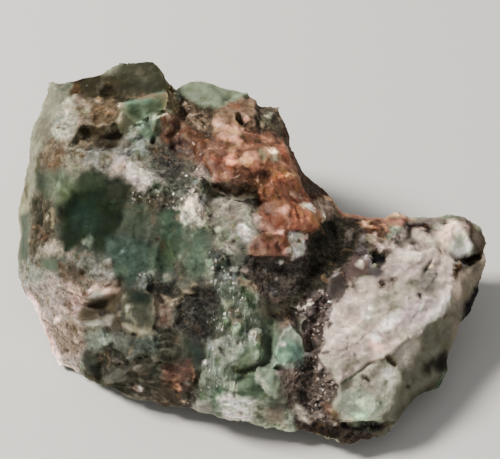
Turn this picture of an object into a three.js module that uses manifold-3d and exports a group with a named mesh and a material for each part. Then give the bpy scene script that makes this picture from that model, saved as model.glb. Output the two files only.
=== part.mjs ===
// A hand-sized piece of rough chrysoprase, broken on all sides, lying on its flattest break.
// Millimetres, +Z up. The origin is under the middle of the stone, on the surface that it rests on.
import * as THREE from "three";
import { ConvexHull } from "three/addons/math/ConvexHull.js";
import { ImprovedNoise } from "three/addons/math/ImprovedNoise.js";
import { mergeVertices } from "three/addons/utils/BufferGeometryUtils.js";
import Module from "manifold-3d";

const wasm = await Module();
wasm.setup();

// The visible side is laid out as an observer sees it, in [across, up, near]: how far a point is
// across and up in the view, and how much nearer than the middle of the view, which is
// middleHeight above the floor. The hidden side is laid out in the stone's own [x, y, z].
const viewElevation = THREE.MathUtils.degToRad(48);
const eyeDistance = 320;
const middleHeight = 24;

// The outline that the observer sees, from the top left corner clockwise.
const outline = {
  leftBlade: [
    [-39.8, 30, -13], [-37.6, 30.2, -13], [-35.6, 30, -12.5], [-34, 30.6, -12], [-30.2, 31.4, -11],
    [-28, 32.6, -10], [-25.6, 33.6, -9.5], [-22, 33.8, -9], [-19.4, 33.4, -9], [-17.2, 31, -9],
    [-16.2, 28.8, -9.5], [-14.8, 26.8, -11],
  ],
  dome: [
    [-12, 28.2, -13.5], [-9.4, 28.8, -14], [-6.2, 28.6, -14], [-3.4, 28.2, -14], [-0.8, 27.6, -13],
    [0.8, 26.2, -12], [2.2, 25.2, -11],
  ],
  darkSlope: [
    [5.8, 24.2, -11], [6, 22.8, -11], [7.2, 20.8, -10.5], [8, 18.8, -10], [8.8, 16.2, -10],
    [10, 14.6, -9.5], [10.6, 12.2, -9], [12, 10.8, -8.5], [14, 8.8, -8], [16, 6.4, -7], [18, 4.2, -6],
  ],
  lobeTop: [
    [22, 3.4, -6.5], [26.6, 2.8, -7], [30, 3.6, -8.5], [32, 2.6, -8], [37.4, 1.8, -9],
    [40.8, 2, -9.5], [43, 1.4, -9.5], [46, 0.2, -9.5], [48, -3, -9.5],
  ],
  lobeRight: [
    [47.2, -4.4, -9], [47.4, -6.2, -8.5], [46.4, -9, -7.5], [45.2, -12.4, -6], [43.8, -14.8, -5],
    [43.4, -17, -4.5], [41.4, -19.2, -3.5], [41.2, -22, -2.5], [39.8, -24.4, -1], [40, -27.6, 1],
    [37.8, -31, 3], [33.6, -33.6, 5], [30, -36.8, 7.5], [28.6, -38.8, 8.5], [28, -40.6, 9],
  ],
  foot: [
    [27.2, -41.4, 9.5], [24.2, -42.2, 10], [20.6, -43.2, 11], [18.4, -43.6, 11.5], [15.2, -42.8, 11.5],
    [12, -41.8, 10], [9.8, -41, 9], [7.8, -41, 9], [6, -40.6, 9], [4.6, -39.8, 9], [2.8, -39.8, 9],
    [0.8, -39, 8.5], [-0.8, -38.2, 8.5], [-4.2, -37.4, 7.5], [-8, -36.4, 6.5], [-11.4, -35.6, 6],
    [-18.2, -34.8, 4.5], [-20.4, -33.4, 4], [-24.4, -32.6, 2.5], [-28, -32.2, 1], [-29.6, -31.8, 0],
    [-33.4, -30, -2.5], [-35.8, -28.4, -4.5], [-38, -27.8, -6],
  ],
  leftSide: [
    [-39.6, -24.8, -7], [-40.2, -22.6, -7], [-41.8, -20, -8], [-43, -16.4, -9], [-44.6, -13.6, -10],
    [-46.2, -11.2, -11], [-47, -9, -12], [-47, -4, -12.5], [-46.6, -1, -12.5], [-46.6, 4.8, -12.5],
    [-45.4, 10.8, -12.5], [-44.6, 14.2, -12.5], [-44.4, 17.2, -12.5], [-43.6, 20.4, -13],
    [-42, 24, -13.5], [-40.8, 27, -13.5],
  ],
};

// What the observer sees inside that outline.
const visible = {
  tanLedge: [
    [-37.5, 26, -6.5], [-35, 28.3, -9], [-33, 25, -5], [-28, 25.3, -4], [-34, 21.6, -1], [-30, 21, 0.5],
    [-26.4, 21.6, 0],
  ],
  ledgeHollow: [[-33, 19.4, -4], [-29, 18.4, -3.5], [-26.4, 19.4, -3.5], [-33, 16, -2], [-26, 15.6, -0.5]],
  backBlade: [[-30, 28, -8], [-25.6, 26.2, -6], [-21, 27.3, -6], [-17.8, 28.8, -6.5]],
  frontBlade: [
    [-26, 24.8, -1.5], [-21, 26.2, -1.5], [-16.6, 27.6, -3], [-25, 21.6, 0.5], [-21, 22, 1],
    [-16.6, 24.8, -2.5],
  ],
  paleRidge: [[-21.8, 20.6, 3], [-19, 22.4, 3], [-16.4, 23.6, 1], [-20, 18.8, 1.2], [-17.6, 20, 0]],
  dome: [
    [-12, 26.2, -10.5], [-6.2, 26.4, -8.5], [-2, 26.4, -9.5], [-9.4, 24.4, -8.5], [-5, 24.8, -8],
    [-1, 24.4, -8],
  ],
  darkBrownHollow: [[-14, 23.4, -4.5], [-11, 22.2, -3], [-9, 19.8, -0.5]],
  redBrownFace: [[-16, 18, 0], [-13, 17.8, 1.5], [-16, 15.6, 1], [-9.4, 15.4, 4.5], [-12, 13.6, 3.5]],
  rustKnob: [
    [-6, 23.6, -3], [-2.2, 22, -3.5], [-4.4, 20.4, 2], [-7, 18, 3], [-1.4, 18.2, 2.5], [-2, 20.4, -2],
  ],
  greyChunk: [[2.4, 23, -5], [4.4, 20.4, -3.5], [1.4, 20.6, -2], [6.4, 18.8, -6.5]],
  rustBand: [
    [-7, 13, 7], [-2, 16, 5.5], [2.4, 16, 5], [6.6, 15.4, 2], [8.6, 13, -1.5], [0, 14, 7.5],
    [-7.4, 10.2, 8.5], [-2, 8.4, 9.8], [3, 8.2, 9], [7.6, 10, 4.5], [10.4, 9.2, 0.5],
  ],
  underRustBand: [[-6.4, 7.2, 5], [-1, 6, 5.5], [2.4, 5.6, 6]],
  rustSlope: [
    [6, 6, 7.8], [10, 5, 5], [13.4, 5, 0], [5, 1, 10.5], [9, 0.4, 9.5], [13, 1, 4], [3, -4, 12.5],
    [7, -5, 11], [12, -3, 6],
  ],
  leftEdge: [[-43, 16, -8], [-40, 14, -3.5], [-37.6, 16.4, -2], [-42, 9, -6], [-40, 22, -6.5], [-44, 0, -7.5]],
  darkPool: [
    [-35, 8.5, 1], [-38, 3, 0.5], [-35.6, 6, 0.5], [-31, 4, 2.2], [-27, 8, 3.5], [-26, 0, 5.5],
    [-32, -2, 4.5], [-34, 2, 0.8],
  ],
  poolBank: [[-39, -4, 1.5], [-33, -5.4, 6.5], [-29, -6.4, 8.2], [-42, -3, -3]],
  whiteCrust: [[-28, 15, 2.5], [-24, 13, 5], [-21, 10, 6.5], [-25, 9, 4.5]],
  middle: [
    [-14, 11, 5], [-10, 11, 6.5], [-17, 6, 7], [-11.4, 3.8, 10.2], [-15, 0.4, 8], [-17, -1, 8],
    [-11, -3, 10.2], [-7, 1, 10], [-3, 2, 9.5], [-1, -2, 11.5], [-5, -5.6, 12], [0, -6.6, 11.5],
    [-24, -7, 9], [-21, -10, 12], [-18, -11.6, 11], [-13, -10.4, 13], [-12, -12.6, 12],
    [-7, -12, 13.5], [-3, -11, 14.2], [1, -12, 12.8],
  ],
  lowerLeft: [
    [-44, -7, -5], [-44.4, -11, -4.5], [-40, -11, 2], [-35, -10, 6.5], [-30, -10, 9], [-33, -12.6, 8.5],
    [-40, -18, -0.5], [-38, -21, 2.5], [-35, -22, 6], [-36, -26, 1.5], [-33, -27.8, 4.5],
  ],
  lensHollow: [[-33, -15, 4], [-30, -14.8, 5.2], [-26.4, -13.2, 8]],
  lensRidge: [[-34, -17.6, 8], [-30.4, -18.2, 10.2], [-26, -16.4, 11.5]],
  smallHollow: [[-28, -19, 8.2], [-25, -20.6, 9.8], [-29, -22, 10.8]],
  oliveShell: [[-22, -15, 14.2], [-20.8, -13, 14.5], [-20, -19.6, 14.6], [-16.6, -17, 13.4], [-24, -17.6, 12.5]],
  darkFold: [[-15, -20.6, 12], [-13, -15.4, 12], [-10, -16, 12], [-9, -20, 12.4]],
  lowerGreen: [
    [-7, -23, 15.4], [-3, -20, 17.2], [0, -16, 15.6], [-2, -25, 18.2], [1, -23, 15.4], [-6, -28, 18],
    [-1.4, -28.4, 14], [-2.4, -26, 17], [-3, -32, 16.4], [1, -31, 16.8], [4, -30, 17.2],
    [-7, -34, 13.5], [-2, -35.4, 13.2], [2.4, -36.4, 12.8], [7, -34, 12.6], [5.4, -38, 11.4],
  ],
  greenGroove: [[3, -23, 12.4], [3.6, -19.6, 13], [3.4, -27, 13]],
  tealFlake: [[4.8, -24, 17.2], [8, -22, 16.2], [10, -24, 13.4], [7, -27, 15.2], [7.6, -18.4, 14.2]],
  lowerFacets: [
    [-33, -25, 4.4], [-30, -26.4, 6.5], [-26.4, -26, 10], [-27.6, -29.6, 8.6], [-23, -24, 13.2],
    [-22, -28, 12], [-18, -27, 13.6], [-20, -31, 10.4], [-15, -30, 13], [-12, -33, 11.4],
    [-9, -29, 15.8],
  ],
  druse: [
    [9, -18, 10.8], [13, -20, 11], [15, -24, 12], [10, -29, 12], [14, -31, 13.6], [16, -36, 14],
    [11, -36, 12], [10, -39, 11], [19, -41, 13.4], [23, -40, 12.2],
  ],
  darkSaddle: [
    [16, 3, -2.5], [20, 1, 0], [25, 0.4, -1], [30, 0.4, -2.5], [17, -2, 2.5], [13, -8, 6], [16, -6.4, 5],
    [6, -8, 9], [10, -7, 8], [22, -4, 2], [25.6, -6, 3], [12, -12, 8.5], [9, -12, 9.8], [6, -15, 12],
    [4, -14, 12],
  ],
  paleCrest: [[18.2, -8, 8.2], [15.6, -11, 10.4], [13.6, -12.8, 12], [10, -15.6, 13.4]],
  lobeFace: [
    [19, -11, 9], [23, -9, 6], [28, -4, 0.5], [32, -3, -1.5], [37.4, -1, -4.5], [42, 0, -6.5],
    [45, -1.6, -7.5], [38, -6, -1.5], [34, -10, 3], [29, -12, 6.5], [24, -16, 9.5], [19, -18, 11.8],
    [20, -23, 14], [25, -22, 13.4], [16, -23, 13.2], [30, -19, 9.8], [35, -15, 5],
  ],
  lobeEdge: [[40.2, -7.2, -2], [40.2, -11.6, 1], [39.6, -14.8, 3], [35, -19.6, 8.4], [31.6, -21.6, 11.4], [27.2, -25.2, 15.4]],
  tipCrevice: [[43, -6.4, -6.4], [45, -8, -6]],
  lobeSide: [
    [42.4, -14, -2.2], [41, -18, 0], [38, -21, 4], [35, -25, 7.6], [38, -27, 4], [37, -24, 5.8],
    [31, -27, 11.6], [34, -31, 7.8], [30, -34, 9.6],
  ],
  lobeFoot: [
    [22, -29, 15], [18, -31, 14], [20, -30.6, 13], [24, -28, 13.6], [19, -35, 16], [23, -34, 15.6],
    [27, -31, 13.4], [17, -38, 15.4], [23, -37.6, 15], [27, -36, 12.4],
  ],
};

// The hidden back and underside, in the stone's own frame. What lies below the floor is cut off.
const hidden = {
  backCrest: [
    [-38, 36, 27], [-33, 38.5, 25], [-27, 38, 29], [-20, 40, 26], [-16, 37, 28], [-9, 38, 24],
    [-3, 35.5, 26], [2, 32, 22], [6, 26, 20.5], [10, 19, 15], [17, 12, 14], [23, 12.5, 10],
    [30, 11, 12], [38, 9, 9], [44, 3.5, 8],
  ],
  leftBack: [[-44, 27, 20], [-46, 18, 11], [-40, 31, 13], [-43, 22, 5], [-45, 9, 5]],
  backLedge: [[-32, 37, 18], [-24, 38.5, 20], [-17, 36, 17], [-9, 37.5, 17], [-2, 32, 15], [4, 27.5, 14]],
  backHollow: [[-29, 33.5, 12], [-20, 33.5, 10], [-11, 34, 9], [-4, 30.5, 7]],
  backFoot: [[-34, 33, 4], [-25, 35, 4.5], [-15, 33, 3], [-5, 29, 2], [4, 24, 5], [9, 19, 6], [11, 14, 2]],
  rightBack: [[15, 12.5, 8], [20, 8, 3.5], [27, 8.5, 6.5], [34, 4, 4.5], [40, 4, 6]],
  underside: [
    [-31, 27, -0.8], [-20, 29, -1.5], [-8, 26, -0.7], [3, 20, -1.4], [9, 9, -0.8], [13, -3, -1.5],
    [10, -15, -0.7], [3, -22, -1.2], [-9, -23, -1], [-19, -19, -1.5], [-30, -12, -0.6],
    [-37, -2, -1], [-38, 10, -0.8], [-36, 20, -0.6], [-15, 8, -3], [-12, -8, -3],
  ],
  underLobe: [[21, -29, 2], [31, -20, 3.5], [39, -10, 6.5], [28, -5, 1.5], [18, -12, 1], [26, -26, 4.5]],
};

// The longest edge left in the mesh, and how far and how wide its faces wander.
const longestVisibleEdge = 2.7;
const longestHiddenEdge = 4.4;
const wander = [
  { reach: 0.7, width: 15, seed: 3.1 },
  { reach: 0.35, width: 5.5, seed: 11.7 },
];

const slabSize = 300;

const tilt = { c: Math.cos(viewElevation), s: Math.sin(viewElevation) };

function fromView([across, up, near]) {
  const shrink = 1 - near / eyeDistance;
  const rise = up * shrink;
  const y = rise * tilt.s - near * tilt.c;
  return new THREE.Vector3(across * shrink, y, middleHeight + rise * tilt.c + near * tilt.s);
}

function toView(point) {
  const height = point.z - middleHeight;
  const near = height * tilt.s - point.y * tilt.c;
  const shrink = 1 - near / eyeDistance;
  return new THREE.Vector2(point.x / shrink, (point.y * tilt.s + height * tilt.c) / shrink);
}

// Whether a place in the view is inside the loop of places.
function inside(place, loop) {
  let within = false;
  loop.forEach((a, i) => {
    const b = loop[(i + 1) % loop.length];
    const crosses = a.y > place.y !== b.y > place.y;
    if (crosses && place.x < a.x + ((place.y - a.y) / (b.y - a.y)) * (b.x - a.x)) within = !within;
  });
  return within;
}

// Joins points into triangles by where the observer sees them: the lower hull of the places
// lifted onto a paraboloid. They face the observer, and those outside the loop are left out.
function sheet(points, loopLength) {
  const places = points.map(toView);
  const lifted = places.map((p, i) => Object.assign(new THREE.Vector3(p.x, p.y, p.lengthSq() / 50), { at: i }));
  const loop = places.slice(0, loopLength);
  const triangles = [];
  for (const face of new ConvexHull().setFromPoints(lifted).faces) {
    const corners = [2, 1, 0].map((i) => face.getEdge(i).head().point.at);
    const middle = corners.reduce((sum, i) => sum.add(places[i]), new THREE.Vector2()).divideScalar(3);
    if (face.normal.z < 0 && inside(middle, loop)) triangles.push(corners);
  }
  return triangles;
}

// Splits every edge over its longest length at its middle, until none is left.
function splitLongEdges(vertices, triangles) {
  for (;;) {
    const middles = new Map();
    const middleOf = (a, b) => {
      const key = a < b ? a * 1e6 + b : b * 1e6 + a;
      if (!middles.has(key)) {
        const seen = vertices[a].seen && vertices[b].seen;
        const longest = seen ? longestVisibleEdge : longestHiddenEdge;
        const middle = Object.assign(vertices[a].clone().lerp(vertices[b], 0.5), { seen });
        const long = vertices[a].distanceTo(vertices[b]) > longest;
        middles.set(key, long ? vertices.push(middle) - 1 : -1);
      }
      return middles.get(key);
    };
    const next = triangles.flatMap(([a, b, c]) => {
      const cuts = [middleOf(a, b), middleOf(b, c), middleOf(c, a)];
      return splitTriangle(vertices, [a, b, c], cuts);
    });
    if (next.length === triangles.length) return next;
    triangles = next;
  }
}

function splitTriangle(vertices, [a, b, c], [ab, bc, ca]) {
  const cut = [ab, bc, ca].filter((m) => m >= 0).length;
  if (cut === 0) return [[a, b, c]];
  if (cut === 3) return [[a, ab, ca], [ab, b, bc], [ca, bc, c], [ab, bc, ca]];
  if (cut === 1 && ab >= 0) return [[a, ab, c], [ab, b, c]];
  if (cut === 1 && bc >= 0) return [[b, bc, a], [bc, c, a]];
  if (cut === 1) return [[c, ca, b], [ca, a, b]];
  if (ab < 0) return splitTip(vertices, [c, a, b], ca, bc);
  if (bc < 0) return splitTip(vertices, [a, b, c], ab, ca);
  return splitTip(vertices, [b, c, a], bc, ab);
}

// The tip's two edges are cut. What is left is a quad, cut along its shorter diagonal.
function splitTip(vertices, [tip, left, right], first, last) {
  const firstToRight = vertices[first].distanceTo(vertices[right]);
  const lastToLeft = vertices[last].distanceTo(vertices[left]);
  if (firstToRight < lastToLeft) return [[tip, first, last], [first, left, right], [first, right, last]];
  return [[tip, first, last], [first, left, last], [left, right, last]];
}

const noise = new ImprovedNoise();

// Moves a point by slow noise, so that flat breaks and straight edges wander.
function wandered(point) {
  const moved = point.clone();
  for (const { reach, width, seed } of wander) {
    const at = point.clone().divideScalar(width).addScalar(seed);
    moved.x += noise.noise(at.x, at.y, at.z) * reach * 2;
    moved.y += noise.noise(at.x + 40, at.y, at.z) * reach * 2;
    moved.z += noise.noise(at.x, at.y + 40, at.z) * reach * 2;
  }
  return moved;
}

function roughStone() {
  const loop = Object.values(outline).flat().map(fromView);
  const front = Object.values(visible).flat().map(fromView);
  const back = Object.values(hidden).flat().map((p) => new THREE.Vector3(...p));
  const vertices = [...loop, ...front, ...back];
  for (const point of [...loop, ...front]) point.seen = true;
  const frontSheet = sheet([...loop, ...front], loop.length);
  const backSheet = sheet([...loop, ...back], loop.length).map((corners) =>
    corners.map((i) => (i < loop.length ? i : i + front.length)).reverse(),
  );
  const triangles = splitLongEdges(vertices, [...frontSheet, ...backSheet]);
  const positions = vertices.map(wandered).flatMap((v) => v.toArray());
  return toManifold(new Float32Array(positions), triangles.flat());
}

// What is cut away below the surface that the stone rests on.
function floorSlab() {
  const slab = new THREE.BoxGeometry(slabSize, slabSize, slabSize);
  slab.translate(0, 0, -slabSize / 2);
  slab.deleteAttribute("normal");
  slab.deleteAttribute("uv");
  const merged = mergeVertices(slab);
  return toManifold(merged.attributes.position.array, merged.index.array);
}

function toManifold(vertProperties, triVerts) {
  return new wasm.Manifold(new wasm.Mesh({ numProp: 3, vertProperties, triVerts: new Uint32Array(triVerts) }));
}

function toGeometry(manifold) {
  const mesh = manifold.getMesh();
  const geometry = new THREE.BufferGeometry();
  geometry.setAttribute("position", new THREE.Float32BufferAttribute(mesh.vertProperties, 3));
  geometry.setIndex([...mesh.triVerts]);
  geometry.computeVertexNormals();
  return geometry;
}

const stoneMaterial = new THREE.MeshStandardMaterial({ color: 0x6f8573, roughness: 0.6, metalness: 0 });
const stone = new THREE.Mesh(toGeometry(roughStone().subtract(floorSlab())), stoneMaterial);
stone.name = "stone";
stone.geometry.computeBoundingBox();
const middle = stone.geometry.boundingBox.getCenter(new THREE.Vector3());
stone.position.set(-middle.x, -middle.y, 0);

const chrysoprase = new THREE.Group();
chrysoprase.add(stone);

export default chrysoprase;
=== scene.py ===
# A hand-sized piece of rough chrysoprase on a pale floor.
import math

import bpy
import numpy as np
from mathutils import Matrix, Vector
from mathutils.bvhtree import BVHTree


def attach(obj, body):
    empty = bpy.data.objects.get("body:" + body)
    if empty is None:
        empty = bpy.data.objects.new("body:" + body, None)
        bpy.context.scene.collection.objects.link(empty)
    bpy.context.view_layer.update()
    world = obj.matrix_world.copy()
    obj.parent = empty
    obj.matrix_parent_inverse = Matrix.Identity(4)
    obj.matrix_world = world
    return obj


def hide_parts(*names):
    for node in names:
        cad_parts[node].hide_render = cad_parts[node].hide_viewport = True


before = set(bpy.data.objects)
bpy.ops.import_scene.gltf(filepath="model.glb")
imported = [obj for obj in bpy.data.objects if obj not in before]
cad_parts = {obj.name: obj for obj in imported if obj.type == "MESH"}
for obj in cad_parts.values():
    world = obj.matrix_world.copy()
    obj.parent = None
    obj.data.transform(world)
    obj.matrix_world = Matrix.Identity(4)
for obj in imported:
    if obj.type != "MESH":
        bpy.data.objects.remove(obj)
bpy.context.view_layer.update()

mm = 0.001

# Where the observer stands. Places on the stone are given as that observer sees them,
# in mm across and up from the middle of the view, so the paint and the chisel share this view.
observer = {
    "elevation": 48,  # degrees above the floor
    "distance": 320,  # mm from the eye to the aim
    "aim": (-0.13, -0.65, 24),  # mm
    "pictureWidth": 100,  # mm seen across the picture at the aim
    "sensor": 36,  # mm
}

tilt = math.radians(observer["elevation"])
aim = np.array(observer["aim"])
viewAcross = np.array((1.0, 0.0, 0.0))
viewUp = np.array((0.0, math.sin(tilt), math.cos(tilt)))
viewNear = np.array((0.0, -math.cos(tilt), math.sin(tilt)))
eye = aim + viewNear * observer["distance"]


def lookAt(thing, target):
    thing.rotation_euler = (Vector(target) - thing.location).to_track_quat("-Z", "Y").to_euler()


cameraData = bpy.data.cameras.new("camera")
cameraData.sensor_width = observer["sensor"]
cameraData.lens = observer["sensor"] * observer["distance"] / observer["pictureWidth"]
cameraData.clip_start = 0.01
camera = bpy.data.objects.new("camera", cameraData)
bpy.context.scene.collection.objects.link(camera)
camera.location = Vector(eye * mm)
lookAt(camera, aim * mm)
bpy.context.scene.camera = camera
print("camera placed")

# The floor and the light.
studio = {
    "floorSize": 4,  # m
    "floorColour": (0.34, 0.33, 0.315),
    "floorRoughness": 0.9,
    "skyStrength": 0.715,
    "keyPlace": (-0.58, 0.04, 0.64),  # m
    "keyColour": (1, 0.96, 0.91),
    "keySize": 0.2,  # m
    "keyAim": (0, 0, 0.02),  # m
    "keyPower": 31.2,  # W
}
bpy.ops.mesh.primitive_plane_add(size=studio["floorSize"])
floor = bpy.context.object
floor.name = "floor"
floorMaterial = bpy.data.materials.new("floor")
floorMaterial.use_nodes = True
floorShader = floorMaterial.node_tree.nodes["Principled BSDF"]
floorShader.inputs["Base Color"].default_value = (*studio["floorColour"], 1)
floorShader.inputs["Roughness"].default_value = studio["floorRoughness"]
floor.data.materials.append(floorMaterial)

keyData = bpy.data.lights.new("key", "AREA")
keyData.size = studio["keySize"]
keyData.energy = studio["keyPower"]
keyData.color = studio["keyColour"]
key = bpy.data.objects.new("key", keyData)
bpy.context.scene.collection.objects.link(key)
key.location = studio["keyPlace"]
lookAt(key, studio["keyAim"])
world = bpy.data.worlds.new("studio")
world.use_nodes = True
world.node_tree.nodes["Background"].inputs["Color"].default_value = (1, 1, 1, 1)
world.node_tree.nodes["Background"].inputs["Strength"].default_value = studio["skyStrength"]
bpy.context.scene.world = world
print("studio lit")


# Noise of the script's own, worked out for all points of a mesh at once.
def hashed(cells, seed):  # one number from 0 to 1 for each whole-number cell
    h = cells[:, 0] * 73856093 ^ cells[:, 1] * 19349663 ^ cells[:, 2] * 83492791 ^ seed * 15485863
    h = (h ^ (h >> 13)) * 1274126177 & 0xFFFFFFFF
    h = (h ^ (h >> 15)) * 668265263 & 0xFFFFFFFF
    return ((h ^ (h >> 16)) & 0xFFFFFF) / float(0x1000000)


def hashedVector(cells, seed):
    return np.stack([hashed(cells, seed * 3 + axis) for axis in range(3)], axis=1) * 2 - 1


def softNoise(points, size, seed):  # smooth, about -1 to 1
    scaled = points / size
    base = np.floor(scaled).astype(np.int64)
    inCell = scaled - base
    fade = inCell ** 3 * (inCell * (inCell * 6 - 15) + 10)
    total = np.zeros(len(points))
    for corner in np.ndindex(2, 2, 2):
        step = np.array(corner)
        weight = np.prod(np.where(step == 1, fade, 1 - fade), axis=1)
        total += weight * np.sum(hashedVector(base + step, seed) * (inCell - step), axis=1)
    return total * 1.4


def layeredNoise(points, size, seed, layers=4, keep=0.5):
    return sum(softNoise(points, size / 2 ** i, seed + i) * keep ** i for i in range(layers))


def ridgedNoise(points, size, seed, layers=3):  # sharp crests, 0 to about 1
    crests = (1 - np.abs(softNoise(points, size / 2 ** i, seed + i)) * 2 for i in range(layers))
    return sum(crest * 0.5 ** i for i, crest in enumerate(crests)) / 1.75


def smoothStep(value, low, high):
    t = np.clip((value - low) / (high - low), 0, 1)
    return t * t * (3 - 2 * t)


def cellsAround(points, size, seed):  # nearby cells, the way from each one's heart, and its square
    scaled = points / size
    base = np.floor(scaled).astype(np.int64)
    for corner in np.ndindex(3, 3, 3):
        cell = base + np.array(corner) - 1
        way = scaled - (cell + hashedVector(cell, seed) * 0.45 + 0.5)
        yield cell, way, np.sum(way * way, axis=1)


def chips(points, size, seed):  # broken scallops that meet in sharp crests, about 0 to 1
    lowest = np.full(len(points), 9.0)
    for cell, _, distance in cellsAround(points, size, seed):
        lowest = np.minimum(lowest, distance + hashed(cell, seed + 70) * 0.5)
    return lowest


def nearestCell(points, size, seed):  # the cell a point lies in, and the way from that cell's heart
    nearest = np.full(len(points), 9.0)
    home = np.zeros((len(points), 3), np.int64)
    fromHome = np.zeros((len(points), 3))
    for cell, way, distance in cellsAround(points, size, seed):
        closer = distance < nearest
        nearest[closer] = distance[closer]
        home[closer] = cell[closer]
        fromHome[closer] = way[closer]
    return home, fromHome


def shards(points, size, seed):  # small planes that each lean their own way, about -0.5 to 0.5
    cell, way = nearestCell(points, size, seed)
    return np.sum(way * hashedVector(cell, seed + 9), axis=1)


def grains(points, size, seed, many):  # 1 within scattered small grains, 0 between them
    cell, way = nearestCell(points, size, seed)
    reach = np.linalg.norm(way, axis=1) / (0.22 + 0.2 * hashed(cell, seed + 4))
    return (1 - smoothStep(reach, 0.7, 1.2)) * (hashed(cell, seed + 5) < many)


def ledges(points, way, size, seed):  # steps that rise slowly and fall sharply, 0 to about 1
    t = points @ (np.array(way) / np.linalg.norm(way)) / size + softNoise(points, size * 3, seed) * 0.9
    part = t - np.floor(t)
    return part - smoothStep(part, 0.8, 1)


def stretched(points, along, factor):  # points pulled together one way, so that noise runs that way
    way = np.array(along) / np.linalg.norm(along)
    return points - np.outer(points @ way, way) * (1 - 1 / factor)


def selectOnly(piece):
    bpy.ops.object.select_all(action="DESELECT")
    piece.select_set(True)
    bpy.context.view_layer.objects.active = piece


def modify(piece, kind, **settings):
    selectOnly(piece)
    bpy.ops.object.modifier_add(type=kind)
    for name, value in settings.items():
        setattr(piece.modifiers[-1], name, value)
    bpy.ops.object.modifier_apply(modifier=piece.modifiers[-1].name)


# The stone's body: the solid's own shape, remeshed fine enough to carve.
bodyMesh = {
    "mergeWithin": 0.001,  # mm
    "voxel": 0.36,  # mm
    "smoothing": 0.5,
    "smoothingRounds": 5,
    "triangles": 190000,  # kept after the carving
}

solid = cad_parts["stone"]
stone = bpy.data.objects.new("roughStone", solid.data.copy())
bpy.context.scene.collection.objects.link(stone)
selectOnly(stone)
bpy.ops.object.mode_set(mode="EDIT")
bpy.ops.mesh.select_all(action="SELECT")
bpy.ops.mesh.remove_doubles(threshold=bodyMesh["mergeWithin"] * mm)
bpy.ops.mesh.normals_make_consistent(inside=False)
bpy.ops.object.mode_set(mode="OBJECT")
modify(stone, "REMESH", mode="VOXEL", voxel_size=bodyMesh["voxel"] * mm)
modify(stone, "SMOOTH", factor=bodyMesh["smoothing"], iterations=bodyMesh["smoothingRounds"])
bpy.ops.object.shade_smooth()
print("body remeshed:", len(stone.data.vertices), "points,", len(stone.data.polygons), "faces")


def readPoints(piece):
    found = np.zeros(len(piece.data.vertices) * 3)
    piece.data.vertices.foreach_get("co", found)
    return found.reshape(-1, 3) / mm


def writePoints(piece, points):
    piece.data.vertices.foreach_set("co", (points * mm).ravel())
    piece.data.update()


def readNormals(piece):
    found = np.zeros(len(piece.data.vertices) * 3)
    piece.data.vertex_normals.foreach_get("vector", found)
    return found.reshape(-1, 3)


def neighbourMean(piece, values, rounds):  # each point's value, averaged over its neighbours in rounds
    ends = np.zeros(len(piece.data.edges) * 2, np.int64)
    piece.data.edges.foreach_get("vertices", ends)
    a, b = ends.reshape(-1, 2).T
    count = np.bincount(a, minlength=len(values)) + np.bincount(b, minlength=len(values))
    for _ in range(rounds):
        total = np.zeros_like(values)
        for axis in range(values.shape[1]):
            total[:, axis] = np.bincount(a, values[b, axis], len(values))
            total[:, axis] += np.bincount(b, values[a, axis], len(values))
        values = total / count[:, None]
    return values


def asSeen(points):  # across, up and near of each point
    rel = points - aim
    near = rel @ viewNear
    shrink = 1 - near / observer["distance"]
    return rel @ viewAcross / shrink, rel @ viewUp / shrink, near


# What counts as seen.
sight = {
    "steepest": -0.3,  # the cosine of the angle between a slope and the observer
    "within": 2.5,  # mm from where the line of sight meets the stone
    "rounds": 4,  # in which the border is softened
}


def seenPart(piece, points, normals):  # 1 where the observer sees the stone, 0 behind it
    tree = BVHTree.FromObject(piece, bpy.context.evaluated_depsgraph_get())
    found = np.zeros(len(points))
    for index in np.flatnonzero(normals @ viewNear > sight["steepest"]):
        goal = points[index]
        hit = tree.ray_cast(Vector(eye * mm), Vector(goal - eye).normalized())[0]
        found[index] = hit is None or (Vector(goal * mm) - hit).length < sight["within"] * mm
    return neighbourMean(piece, found[:, None], sight["rounds"])[:, 0]


def spotOn(tree, across, up):  # where the observer's line of sight meets the stone, in mm
    goal = aim + viewAcross * across + viewUp * up
    way = Vector(goal - eye).normalized()
    hit = tree.ray_cast(Vector(eye * mm), way)[0]
    if hit is None:
        hit = tree.find_nearest(Vector(goal * mm))[0]
    return np.array(hit) / mm


def reachOf(points, centre, halfWidth, halfHeight, turn, deep):  # 0 at a spot's middle, 1 at its rim
    rel = points - centre
    a = rel @ viewAcross
    b = rel @ viewUp
    c, s = math.cos(math.radians(turn)), math.sin(math.radians(turn))
    depth = rel @ viewNear / (max(halfWidth, halfHeight) * deep)
    return np.sqrt(((a * c + b * s) / halfWidth) ** 2 + ((b * c - a * s) / halfHeight) ** 2 + depth ** 2)


def insideBy(across, up, corners):  # mm inside a closed loop of corners, negative outside
    found = np.full(len(across), -99.0)
    loop = np.array(corners, float)
    low, high = loop.min(axis=0) - 4, loop.max(axis=0) + 4
    near = np.flatnonzero((across > low[0]) & (across < high[0]) & (up > low[1]) & (up < high[1]))
    x, y = across[near], up[near]
    closest = np.full(len(near), 99.0)
    inside = np.zeros(len(near), bool)
    for (ax, ay), (bx, by) in zip(loop, np.roll(loop, -1, axis=0)):
        t = np.clip(((x - ax) * (bx - ax) + (y - ay) * (by - ay)) / ((bx - ax) ** 2 + (by - ay) ** 2), 0, 1)
        closest = np.minimum(closest, np.hypot(x - ax - t * (bx - ax), y - ay - t * (by - ay)))
        crosses = ((ay > y) != (by > y)) & (x < (bx - ax) * (y - ay) / (by - ay + 1e-9) + ax)
        inside ^= crosses
    found[near] = np.where(inside, closest, -closest)
    return found


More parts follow.
